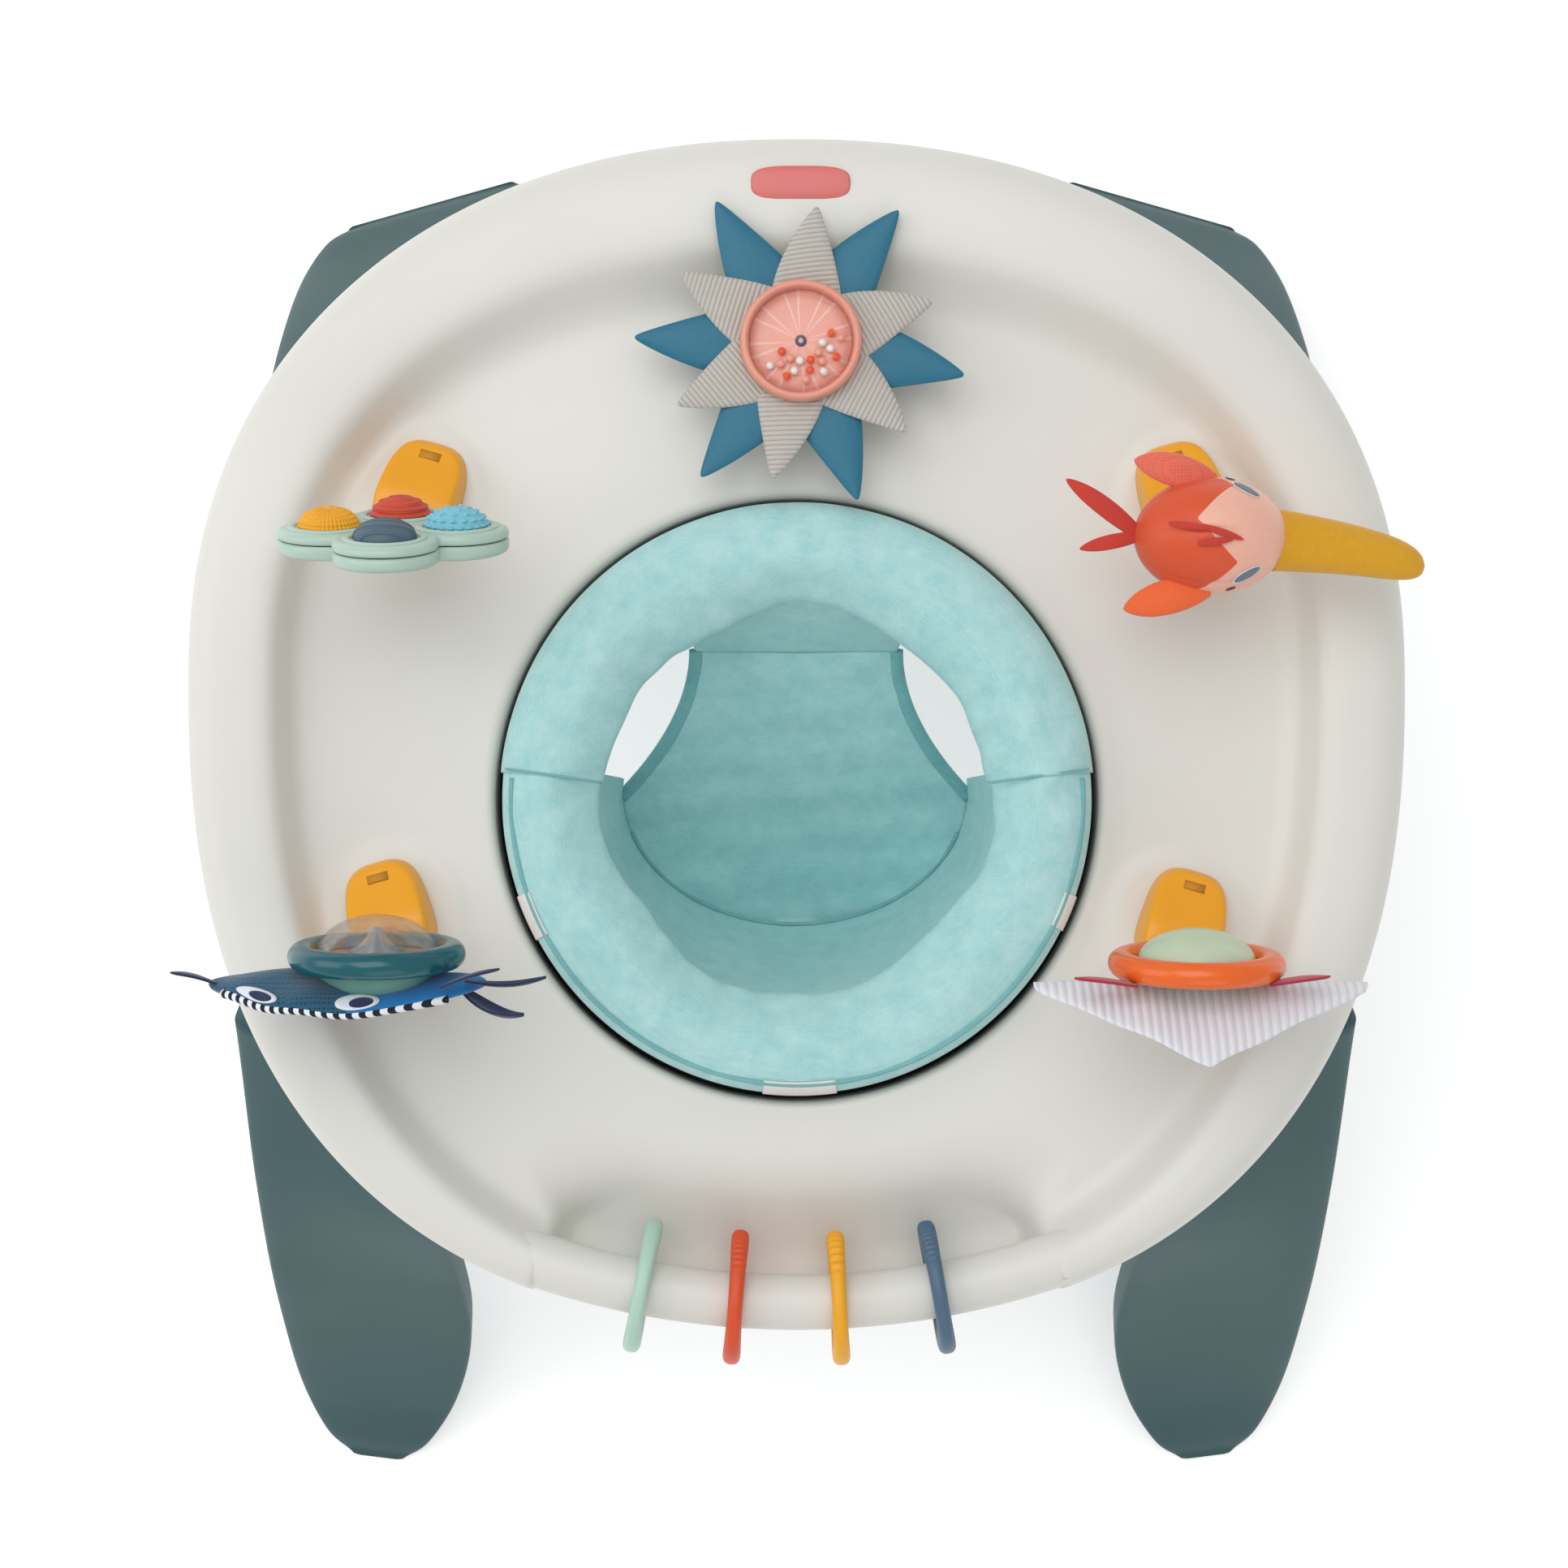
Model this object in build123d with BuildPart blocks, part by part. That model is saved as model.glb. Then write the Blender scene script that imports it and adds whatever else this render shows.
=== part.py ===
from build123d import *

# Baby activity jumper: a dished play tray on four splayed legs, with a sprung, turning fabric seat.
# Millimetres, +Z up. The origin is on the floor, on the seat's turning axis. +Y is the way the seated
# baby faces, towards the sun toy. The grab handle with its four teething rings is on the -Y side.

from math import copysign, cos, hypot, pi, radians, sin
import os

os.makedirs("parts", exist_ok=True)

# Tray
RIM_Z = 430.0  # top of the raised rim
DISH_Z = 400.0  # floor of the dish
SKIRT_Z = 352.0  # lower edge of the tray's outer wall
WALL = 4.0
RIM_RADIUS = 16.0
EGG_Y = 77.0  # where the tray is widest
BACK_POWER = 2.2  # fullness of the back half of the outline; 2 would be an ellipse
FRONT_POWER = 2.4
EGG_POINTS = 32
TRAY = (370.0, 327.0, 396.0)  # half width, reach to the back, reach to the front
STEP = (317.0, 260.0, 376.0)  # top edge of the wall down into the dish
DISH = (305.0, 233.0, 364.0)  # foot of that wall
HOLE_R = 183.5
PLATE_Z = 353.0  # underside cover plate
PLATE_GAP = 0.5
SCREW_COUNT = 10

# Grab handle, an arc about a vertical axis, and the scoop in the tray behind it
HANDLE_AXIS_Y = 187.0
HANDLE_ARC_R = 490.0
HANDLE_R = 16.5
HANDLE_Z = RIM_Z - HANDLE_R
HANDLE_HALF_DEG = 17.5

# Teething rings, threaded on the handle
RING_R = 41.0
RING_HOLE_R = 27.0
RING_THICK = 11.0
RING_Z = HANDLE_Z - (RING_HOLE_R - HANDLE_R - 0.4)
RING_X = {"mint": -93.6, "orange": -37.0, "yellow": 25.0, "blue": 84.8}
SCOOP_R = RING_R + 5.4

# Seat suspension: a carrier ring hanging on four headed posts, with a spring under each lug
CARRIER_Z = 335.0
CARRIER_R = (166.0, 206.0)
CARRIER_THICK = 5.0
RACE_WALL_R = 196.0
RACE_HEIGHT = 6.0
RACE_RING_R = 178.0
RACE_RING_THICK = 4.0
POST_RING_R = 220.0
POST_R = 6.0
POST_HEAD_R = 13.0
POST_HEAD_Z = (270.0, 276.0)
LUG_R = 16.0
LUG_HOLE_R = 6.8
SPRING_R = 10.0  # middle of the coil
SPRING_WIRE_R = 1.6
SPRING_TURNS = 5

# Seat hoop and its soft cover
HOOP_R = (168.0, 174.0)
HOOP_FLANGE_R = 194.0
HOOP_TOP_Z = 397.5
COVER_R = (119.0, 179.0)
COVER_Z = (398.0, 421.0)
SLING_TOP = (167.0, 397.0)  # radius and height
SLING_FOOT = (105.0, 195.0)
SLING_CLOTH = 3.0
SEAT_PANEL = ((100.0, 350.0), (-84.0, 210.0))  # the inclined seat panel as y and z, front then back
LEG_HOLE_AT = (54.0, 0.0)
LEG_HOLE_R = 36.0

# Leg blades: level sections as height, outer corner, inner corner and thickness, left side
LEG_FRONT = [
    (3, (-326, -472), (-286, -477), 20),
    (14, (-343, -455), (-266, -464), 27),
    (40, (-355, -423), (-244, -431), 32),
    (100, (-361, -366), (-228, -372), 34),
    (150, (-362, -322), (-231, -333), 34),
    (230, (-361, -247), (-240, -282), 34),
    (335, (-356, -140), (-242, -184), 32),
]
LEG_REAR = [
    (3, (-335, 440), (-206, 477), 20),
    (14, (-350, 428), (-190, 472), 27),
    (40, (-361, 402), (-180, 452), 32),
    (100, (-366, 352), (-178, 400), 34),
    (150, (-366, 310), (-182, 356), 34),
    (230, (-362, 240), (-200, 284), 34),
    (335, (-356, 140), (-225, 184), 32),
]
LEG_CORNER_R = 7.0
PAD_THICK = 3.0

# Leg slides
SLIDE_RISE = 0.735  # the slide direction, up and towards the middle
SLIDE_RUN = 0.678
TANG_AT = (-284.0, 148.0, 335.0)  # x, |y| and z of the tang's middle where it leaves the blade
TANG = (56.0, 14.0)
TANG_LENGTH = 73.0
SLEEVE_GAP = 0.6
SLEEVE_WALL = 5.0
SLEEVE_Z = (338.5, 389.0)
SLEEVE_FLANGE_Z = (357.0, 361.0)

# Height buttons, one in the outward face of each leg
BUTTON_Z = 285.0
BUTTON_R = 10.0
BUTTON_GAP = 0.5
BUTTON_OUT = 3.0
BUTTON_IN = 6.0
BUTTON_POCKET = 10.0

# Toys. Each stands on a stem that turns in a wedge-shaped pod and leans towards -Y.
STEM_R = 8.0
STEM_GAP = 0.5
STEM_FOOT_Z = 406.5
POD_WIDTH = 54.0
POD_LENGTH = 62.0
POD_HEIGHT = (14.0, 34.0)
POD_STEM_SHIFT = 16.0
POPPER = (-232.6, 147.0, 508.0, 17.6, -16.0)  # x, y, z, lean in degrees, turn of the pod
FISH = (-242.6, -92.7, 494.0, 7.7, 16.0)
RAY = (229.5, -98.0, 494.0, 7.7, -16.0)
BIRD = (238.0, 149.0, 498.0, 18.0, 16.0)
LOBE_R = 29.8
LOBE_SHIFT = 36.6
LOBE_HOLE_R = 18.5
DOME_R = 18.0
DOME_FLANGE_R = 19.6
HOOP_TOY_R = (43.0, 8.0)
TOY_WINDOW_R = 34.6
SPINNER_R = 15.0
BIRD_HALF = (44.0, 34.0)

# Sun toy, turning on a post at the back of the tray
SUN = (2.0, 272.0)
SUN_HUB_R = 36.5
SUN_RAY_R = {"teal": 100.0, "grey": 82.0}
SUN_RAY_Z = {"teal": 433.0, "grey": 437.2}
SUN_RAY_PHASE = {"teal": -8.0, "grey": 20.0}
SUN_HUB_Z = 441.4


def save(part, name):
    """Writes one finished piece to its own STEP file."""
    part.label = name
    export_step(part, f"parts/{name}.step")


def egg(half_width, back, front):
    """A tray outline: a superellipse whose back and front halves each have their own depth."""
    points = []
    for k in range(EGG_POINTS):
        turn = 2 * pi * k / EGG_POINTS
        depth, power = (back, BACK_POWER) if sin(turn) >= 0 else (front, FRONT_POWER)
        x = half_width * copysign(abs(cos(turn)) ** (2 / power), cos(turn))
        y = EGG_Y + depth * copysign(abs(sin(turn)) ** (2 / power), sin(turn))
        points.append((x, y))
    with BuildSketch(mode=Mode.PRIVATE) as outline:
        with BuildLine():
            Spline(*points, periodic=True)
        make_face()
    return outline.sketch


def inset(size, by):
    """The three reaches of an outline, all smaller by one distance."""
    return tuple(reach - by for reach in size)


def handle_plane(deg):
    """The upright plane through the handle's axis; its x runs outwards and its y runs up."""
    out = (sin(radians(deg)), -cos(radians(deg)), 0)
    return Plane(origin=(0, HANDLE_AXIS_Y, 0), x_dir=out, z_dir=(out[1], -out[0], 0))


HANDLE_AXIS = Axis((0, HANDLE_AXIS_Y, 0), (0, 0, 1))


def scoop(grow):
    """The open space behind, above and beyond the handle: a slope running into a round trough."""
    reach = SCOOP_R + grow
    half_deg = HANDLE_HALF_DEG + 57.3 * grow / HANDLE_ARC_R
    touch = (HANDLE_ARC_R - 0.6 * reach, RING_Z - 0.8 * reach)
    top = (touch[0] - 0.8 * 72, touch[1] + 0.6 * 72)
    middle = (HANDLE_ARC_R - 0.3162 * reach, RING_Z - 0.9487 * reach)
    low = (HANDLE_ARC_R, RING_Z - reach)
    far = HANDLE_ARC_R + 60
    with BuildPart(mode=Mode.PRIVATE) as space:
        with BuildSketch(handle_plane(-half_deg)):
            with BuildLine():
                Line(top, touch)
                ThreePointArc(touch, middle, low)
                Polyline(low, (far, low[1]), (far, RIM_Z + 30), (top[0], RIM_Z + 30), top)
            make_face()
        revolve(axis=HANDLE_AXIS, revolution_arc=2 * half_deg)
    return space.part


# Tray, assembled from its outer block, the dish, the hollow under the skin, the scoop and the seat hole
with BuildPart() as hollow:
    with BuildSketch(Plane.XY.offset(SKIRT_Z)):
        add(egg(*inset(TRAY, WALL)))
    extrude(amount=RIM_Z - WALL - SKIRT_Z)
    fillet(hollow.edges().group_by(Axis.Z)[-1], RIM_RADIUS - WALL)
    with BuildSketch(Plane.XY.offset(DISH_Z - WALL)):
        add(egg(*inset(DISH, -WALL)))
    with BuildSketch(Plane.XY.offset(RIM_Z)):
        add(egg(*inset(STEP, -WALL)))
    loft(mode=Mode.SUBTRACT)
    with Locations((0, 0, SKIRT_Z)):
        Cylinder(HOLE_R + WALL, 200, mode=Mode.SUBTRACT)
    add(scoop(WALL), mode=Mode.SUBTRACT)

with BuildPart() as tray_top:
    with BuildSketch(Plane.XY.offset(SKIRT_Z)):
        add(egg(*TRAY))
    extrude(amount=RIM_Z - SKIRT_Z)
    fillet(tray_top.edges().group_by(Axis.Z)[-1], RIM_RADIUS)
    with BuildSketch(Plane.XY.offset(DISH_Z)):
        add(egg(*DISH))
    with BuildSketch(Plane.XY.offset(RIM_Z)):
        add(egg(*STEP))
    loft(mode=Mode.SUBTRACT)
    add(hollow.part, mode=Mode.SUBTRACT)
    add(scoop(0), mode=Mode.SUBTRACT)
    with Locations((0, 0, DISH_Z)):
        Cylinder(HOLE_R, 200, mode=Mode.SUBTRACT)
save(tray_top.part, "tray_top")

with BuildPart() as handle_bar:
    with BuildSketch(handle_plane(-HANDLE_HALF_DEG)):
        with Locations((HANDLE_ARC_R, HANDLE_Z)):
            Circle(HANDLE_R)
    revolve(axis=HANDLE_AXIS, revolution_arc=2 * HANDLE_HALF_DEG)
save(handle_bar.part, "handle_bar")


def slide_plane(side, end):
    """At the top of a leg: z runs up the slide direction, x runs across the leg."""
    x, y, z = TANG_AT
    return Plane(origin=(-side * x, end * y, z), x_dir=(1, 0, 0), z_dir=(0, -end * SLIDE_RUN, SLIDE_RISE))


CORNERS = {"front_left": (-1, -1), "front_right": (1, -1), "rear_left": (-1, 1), "rear_right": (1, 1)}

# Leg sleeves: square tubes let into the underside, one for each leg's tang
with BuildPart() as leg_sleeves:
    for side, end in CORNERS.values():
        with BuildSketch(slide_plane(side, end).offset(-30)):
            wide, deep = TANG[0] + 2 * SLEEVE_GAP, TANG[1] + 2 * SLEEVE_GAP
            Rectangle(wide + 2 * SLEEVE_WALL, deep + 2 * SLEEVE_WALL)
            Rectangle(wide, deep, mode=Mode.SUBTRACT)
        extrude(amount=140)
    with Locations((0, 0, (SLEEVE_Z[0] + SLEEVE_Z[1]) / 2)):
        Box(900, 900, SLEEVE_Z[1] - SLEEVE_Z[0], mode=Mode.INTERSECT)
save(leg_sleeves.part, "leg_sleeves")

SLEEVE_SHIFT = (PLATE_Z + WALL / 2 - TANG_AT[2]) * SLIDE_RUN / SLIDE_RISE
SLEEVE_HALF_Y = (TANG[1] / 2 + SLEEVE_GAP + SLEEVE_WALL) / SLIDE_RISE
screw_spots = []
for k in range(SCREW_COUNT):
    turn = 2 * pi * (k + 0.5) / SCREW_COUNT
    screw_spots.append((336 * cos(turn), 70 + 292 * sin(turn), PLATE_Z))

with BuildPart() as tray_underside:
    with BuildSketch(Plane.XY.offset(PLATE_Z)):
        add(egg(*inset(TRAY, WALL + PLATE_GAP)))
    extrude(amount=WALL)
    with Locations((0, 0, PLATE_Z)):
        Cylinder(HOLE_R + WALL + PLATE_GAP, 60, mode=Mode.SUBTRACT)
    with BuildSketch(handle_plane(-HANDLE_HALF_DEG - 0.7)):
        with Locations((HANDLE_ARC_R + 20, PLATE_Z)):
            Rectangle(2 * 48, 40)
    revolve(axis=HANDLE_AXIS, revolution_arc=2 * HANDLE_HALF_DEG + 1.4, mode=Mode.SUBTRACT)
    for side, end in CORNERS.values():
        across = TANG[0] / 2 + SLEEVE_GAP + SLEEVE_WALL + PLATE_GAP
        along = SLEEVE_HALF_Y + WALL + PLATE_GAP
        with Locations((-side * TANG_AT[0], end * (TANG_AT[1] - SLEEVE_SHIFT), PLATE_Z)):
            Box(2 * across, 2 * along, 40, mode=Mode.SUBTRACT)
    with Locations(*screw_spots):
        Cylinder(1.9, 40, mode=Mode.SUBTRACT)
save(tray_underside.part, "tray_underside")

# Self-tapping screws through the cover plate
with BuildPart() as tray_screws:
    with Locations(*screw_spots):
        Cylinder(1.6, 9, align=(Align.CENTER, Align.CENTER, Align.MIN))
        Cylinder(4.2, 2.2, align=(Align.CENTER, Align.CENTER, Align.MAX))
save(tray_screws.part, "tray_screws")

# Seat suspension
with BuildPart() as carrier_posts:
    with PolarLocations(POST_RING_R, 4, start_angle=45):
        with Locations((0, 0, POST_HEAD_Z[0])):
            Cylinder(POST_R, PLATE_Z - POST_HEAD_Z[0], align=(Align.CENTER, Align.CENTER, Align.MIN))
            head = POST_HEAD_Z[1] - POST_HEAD_Z[0]
            Cylinder(POST_HEAD_R, head, align=(Align.CENTER, Align.CENTER, Align.MIN))
save(carrier_posts.part, "carrier_posts")

SPRING_HEIGHT = CARRIER_Z - POST_HEAD_Z[1] - 0.8
with BuildPart() as one_spring:
    with BuildLine() as coil:
        Helix(
            pitch=(SPRING_HEIGHT - 2 * SPRING_WIRE_R) / SPRING_TURNS,
            height=SPRING_HEIGHT - 2 * SPRING_WIRE_R,
            radius=SPRING_R,
        )
    with BuildSketch(Plane(origin=coil.line @ 0, z_dir=coil.line % 0)):
        Circle(SPRING_WIRE_R)
    sweep(is_frenet=True)

with BuildPart() as bounce_springs:
    with PolarLocations(POST_RING_R, 4, start_angle=45):
        with Locations((0, 0, POST_HEAD_Z[1] + 0.4 + SPRING_WIRE_R)):
            add(one_spring.part)
save(bounce_springs.part, "bounce_springs")

RACE_FLOOR_Z = CARRIER_Z + CARRIER_THICK
with BuildPart() as carrier_ring:
    with BuildSketch(Plane.XY.offset(CARRIER_Z)):
        Circle(CARRIER_R[1])
        with PolarLocations(POST_RING_R, 4, start_angle=45):
            Circle(LUG_R)
        Circle(CARRIER_R[0], mode=Mode.SUBTRACT)
        with PolarLocations(POST_RING_R, 4, start_angle=45):
            Circle(LUG_HOLE_R, mode=Mode.SUBTRACT)
    extrude(amount=CARRIER_THICK)
    with BuildSketch(Plane.XY.offset(RACE_FLOOR_Z)):
        Circle(CARRIER_R[1])
        Circle(RACE_WALL_R, mode=Mode.SUBTRACT)
        with PolarLocations(POST_RING_R, 4, start_angle=45):
            Circle(LUG_HOLE_R, mode=Mode.SUBTRACT)
    extrude(amount=RACE_HEIGHT)
save(carrier_ring.part, "carrier_ring")

with BuildPart() as race_ring:
    with BuildSketch(Plane.XY.offset(RACE_FLOOR_Z + RACE_HEIGHT)):
        Circle(CARRIER_R[1])
        Circle(RACE_RING_R, mode=Mode.SUBTRACT)
    extrude(amount=RACE_RING_THICK)
save(race_ring.part, "race_ring")

# Seat hoop: a flanged tube that carries the soft cover and turns in the race
with BuildPart() as seat_hoop:
    with BuildSketch(Plane.XY.offset(RACE_FLOOR_Z + 0.5)):
        Circle(HOOP_FLANGE_R)
        Circle(HOOP_R[0], mode=Mode.SUBTRACT)
    extrude(amount=RACE_HEIGHT - 1)
    with BuildSketch(Plane.XY.offset(RACE_FLOOR_Z + 0.5)):
        Circle(HOOP_R[1])
        Circle(HOOP_R[0], mode=Mode.SUBTRACT)
    extrude(amount=HOOP_TOP_Z - RACE_FLOOR_Z - 0.5)
save(seat_hoop.part, "seat_hoop")


def seat_cover(start):
    """Half of the padded ring that covers the hoop, split across the seat at y = 0."""
    wide, tall = COVER_R[1] - COVER_R[0], COVER_Z[1] - COVER_Z[0]
    x_dir = (cos(radians(start)), sin(radians(start)), 0)
    with BuildPart() as half:
        with BuildSketch(Plane(origin=(0, 0, 0), x_dir=x_dir, z_dir=(x_dir[1], -x_dir[0], 0))):
            with Locations(((COVER_R[0] + COVER_R[1]) / 2, (COVER_Z[0] + COVER_Z[1]) / 2)):
                RectangleRounded(wide, tall, 10.5)
        revolve(axis=Axis.Z, revolution_arc=179.8)
    return half.part


save(seat_cover(180.1), "seat_front_cover")
save(seat_cover(0.1), "seat_back_cover")


def sling_body(inside):
    """The bag the baby sits in, solid, smaller all round by the given distance."""
    top_r, top_z = SLING_TOP
    foot_r, foot_z = SLING_FOOT
    (front_y, front_z), (back_y, back_z) = SEAT_PANEL
    run = hypot(front_y - back_y, front_z - back_z)
    up = (0, (back_z - front_z) / run, (front_y - back_y) / run)
    panel = Plane(origin=(0, front_y, front_z), x_dir=(1, 0, 0), z_dir=up)
    with BuildPart() as body:
        with Locations((0, 0, (top_z + foot_z) / 2)):
            Cone(foot_r - inside, top_r - inside, top_z - foot_z)
        split(bisect_by=panel.offset(inside), keep=Keep.TOP)
    return body.part, panel


with BuildPart() as seat_sling:
    outer_bag, panel = sling_body(0)
    inner_bag, same_panel = sling_body(SLING_CLOTH)
    add(outer_bag)
    add(inner_bag, mode=Mode.SUBTRACT)
    for side in (-1, 1):
        x, y = LEG_HOLE_AT
        with BuildSketch(Plane(origin=(side * x, y, 150), z_dir=(side * 0.25, 0.3, 1))):
            Ellipse(LEG_HOLE_R, LEG_HOLE_R + 14)
        extrude(amount=210, mode=Mode.SUBTRACT)
save(seat_sling.part, "seat_sling")


def corner_points(section, side):
    """The four corners of one level section of a leg blade, on the given side of the seat."""
    z, outer, inner, thick = section
    end = copysign(1, outer[1])
    long = hypot(inner[0] - outer[0], inner[1] - outer[1])
    back = (-(inner[1] - outer[1]) / long * thick, (inner[0] - outer[0]) / long * thick)
    if back[1] * end > 0:
        back = (-back[0], -back[1])
    points = [outer, inner, (inner[0] + back[0], inner[1] + back[1]), (outer[0] + back[0], outer[1] + back[1])]
    return [(-side * x, y) for x, y in points]


def section_face(section, side):
    """One level section of a leg blade, with rounded corners."""
    with BuildSketch(mode=Mode.PRIVATE) as outline:
        with BuildLine():
            Polyline(*corner_points(section, side), close=True)
        make_face()
        fillet(outline.vertices(), LEG_CORNER_R)
    return outline.sketch


def face_plane(sections, side):
    """The plane on a leg's outward face at the height button; z points outwards."""
    low, high = sections[-2], sections[-1]
    part_way = (BUTTON_Z - low[0]) / (high[0] - low[0])
    spots = []
    for section in (low, high):
        corners = corner_points(section, side)
        spots.append([Vector(corner[0], corner[1], section[0]) for corner in corners[:2]])
    outer = spots[0][0] + (spots[1][0] - spots[0][0]) * part_way
    inner = spots[0][1] + (spots[1][1] - spots[0][1]) * part_way
    across = (inner - outer).normalized()
    along = (spots[1][0] + spots[1][1] - spots[0][0] - spots[0][1]).normalized()
    out = across.cross(along)
    if out.Z < 0:
        out = out * -1
    return Plane(origin=(outer + inner) * 0.5, x_dir=across, z_dir=out)


for name, (side, end) in CORNERS.items():
    sections = LEG_FRONT if end < 0 else LEG_REAR
    with BuildPart() as leg:
        for section in sections:
            with BuildSketch(Plane.XY.offset(section[0])):
                add(section_face(section, side))
        loft()
        with BuildSketch(slide_plane(side, end).offset(-16)):
            Rectangle(*TANG)
        extrude(amount=TANG_LENGTH + 16)
        with BuildSketch(face_plane(sections, side).offset(8)):
            Circle(BUTTON_R + BUTTON_GAP)
        extrude(amount=-8 - BUTTON_POCKET, mode=Mode.SUBTRACT)
    save(leg.part, f"leg_{name}")
    with BuildPart() as foot_pad:
        with BuildSketch():
            add(section_face(sections[0], side))
        extrude(amount=PAD_THICK)
    save(foot_pad.part, f"foot_pad_{name}")
    with BuildPart() as height_button:
        with BuildSketch(face_plane(sections, side).offset(-BUTTON_IN)):
            Circle(BUTTON_R)
        extrude(amount=BUTTON_IN + BUTTON_OUT)
    save(height_button.part, f"height_button_{name}")


def toy_face(toy, ahead=0):
    """A toy's own plane: y runs up its stem and z looks at the baby's far side, towards +Y."""
    lean = radians(toy[3])
    return Plane(origin=toy[:3], x_dir=(-1, 0, 0), z_dir=(0, cos(lean), sin(lean))).offset(ahead)


def stem_plane(toy, up):
    """The plane across a toy's stem, the given distance up from the toy's middle."""
    lean = radians(toy[3])
    return Plane(origin=toy[:3], x_dir=(1, 0, 0), z_dir=(0, -sin(lean), cos(lean))).offset(up)


def stem_foot(toy):
    """How far below the toy's middle its stem ends, in the pod."""
    return (toy[2] - STEM_FOOT_Z) / cos(radians(toy[3]))


def pod_plane(toy):
    """The upright plane along a pod's length; x runs from its low end to its stem end."""
    turn = radians(toy[4])
    along = Vector(sin(turn), -cos(turn), 0)
    base_y = toy[1] + (toy[2] - DISH_Z - POD_HEIGHT[1] + 4) * sin(radians(toy[3])) / cos(radians(toy[3]))
    middle = Vector(toy[0], base_y, 0) - along * POD_STEM_SHIFT
    return Plane(origin=middle, x_dir=along, z_dir=along.cross(Vector(0, 0, 1)))


def toy_pod(toy):
    """A wedge-shaped pod on the dish floor, bored for its toy's stem."""
    half = POD_LENGTH / 2
    low, high = DISH_Z + POD_HEIGHT[0], DISH_Z + POD_HEIGHT[1]
    with BuildPart() as pod:
        with BuildSketch(pod_plane(toy)) as side_view:
            with BuildLine():
                Polyline((-half, DISH_Z), (half, DISH_Z), (half, high), (half - 30, high), (-half, low), close=True)
            make_face()
        extrude(amount=POD_WIDTH / 2, both=True)
        fillet(pod.edges().filter_by(Axis.Z), 12)
        fillet(pod.edges().group_by(Axis.Z)[-1], 5)
        with BuildSketch(stem_plane(toy, -stem_foot(toy) - 1.5)):
            Circle(STEM_R + STEM_GAP)
        extrude(amount=80, mode=Mode.SUBTRACT)
    return pod.part


wedges = [toy_pod(toy) for toy in (POPPER, FISH, RAY, BIRD)]
with BuildPart() as toy_pods:
    add(wedges)
save(toy_pods.part, "toy_pods")


def stem(toy, top, spigot):
    """A toy's stem from inside its pod up to the toy, with a thinner spigot on top."""
    with BuildPart() as rod:
        with BuildSketch(stem_plane(toy, -stem_foot(toy))):
            Circle(STEM_R)
        extrude(amount=stem_foot(toy) + top)
        if spigot > 0:
            with BuildSketch(stem_plane(toy, top)):
                Circle(4)
            extrude(amount=spigot)
    return rod.part


# Popper toy: a split four-lobed case with a press-in dome in each lobe
LOBES = {"yellow": (LOBE_SHIFT, 0), "blue": (-LOBE_SHIFT, 0), "red": (0, -LOBE_SHIFT), "slate": (0, LOBE_SHIFT)}
save(stem(POPPER, -LOBE_SHIFT - LOBE_R - 0.4, 8.4), "stem_popper")


def popper_half(back, front, hole_r, hole_back):
    """One half of the popper's case between two distances along its face direction."""
    with BuildPart() as half:
        with BuildSketch(toy_face(POPPER, back)):
            Rectangle(2 * LOBE_SHIFT * 0.72, 2 * LOBE_SHIFT * 0.72)
            with Locations(*LOBES.values()):
                Circle(LOBE_R)
        extrude(amount=front - back)
        with BuildSketch(toy_face(POPPER, hole_back)):
            with Locations(*LOBES.values()):
                Circle(hole_r)
        extrude(amount=front - hole_back, mode=Mode.SUBTRACT)
        with BuildSketch(stem_plane(POPPER, -LOBE_SHIFT - LOBE_R - 2)):
            Circle(4)
        extrude(amount=10.2, mode=Mode.SUBTRACT)
    return half.part


save(popper_half(0, 6, LOBE_HOLE_R, 0), "popper_front")
save(popper_half(-9, 0, DOME_FLANGE_R + 0.5, -6.5), "popper_back")
for name, spot in LOBES.items():
    with BuildPart() as dome:
        with BuildSketch(toy_face(POPPER, -1.9)):
            with Locations(spot):
                Circle(DOME_FLANGE_R)
        extrude(amount=1.4)
        with BuildSketch(toy_face(POPPER, -1.9)):
            with Locations(spot):
                Circle(DOME_R)
        extrude(amount=14)
        front_rim = dome.faces().filter_by(GeomType.PLANE).sort_by(Axis((0, 0, 0), toy_face(POPPER).z_dir))[-1]
        fillet(front_rim.edges(), 6.5)
    save(dome.part, f"popper_dome_{name}")


def toy_ring(toy):
    """The round frame of a window toy, notched for its stem."""
    with BuildPart() as ring:
        with Locations(toy_face(toy)):
            Torus(*HOOP_TOY_R)
        with BuildSketch(stem_plane(toy, -70)):
            Circle(STEM_R)
        extrude(amount=23, mode=Mode.SUBTRACT)
    return ring.part


def window_dome(toy, height, face_sign, start):
    """A thin domed shell that closes a window toy's ring on one side."""
    radius = (TOY_WINDOW_R**2 + height**2) / (2 * height)
    with BuildPart() as shell:
        with Locations(toy_face(toy, face_sign * (start + height - radius))):
            Sphere(radius)
            Sphere(radius - 2, mode=Mode.SUBTRACT)
        with BuildSketch(toy_face(toy, face_sign * start)):
            Circle(TOY_WINDOW_R + 1)
        extrude(amount=face_sign * (height + 5), mode=Mode.INTERSECT)
    return shell.part


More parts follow.
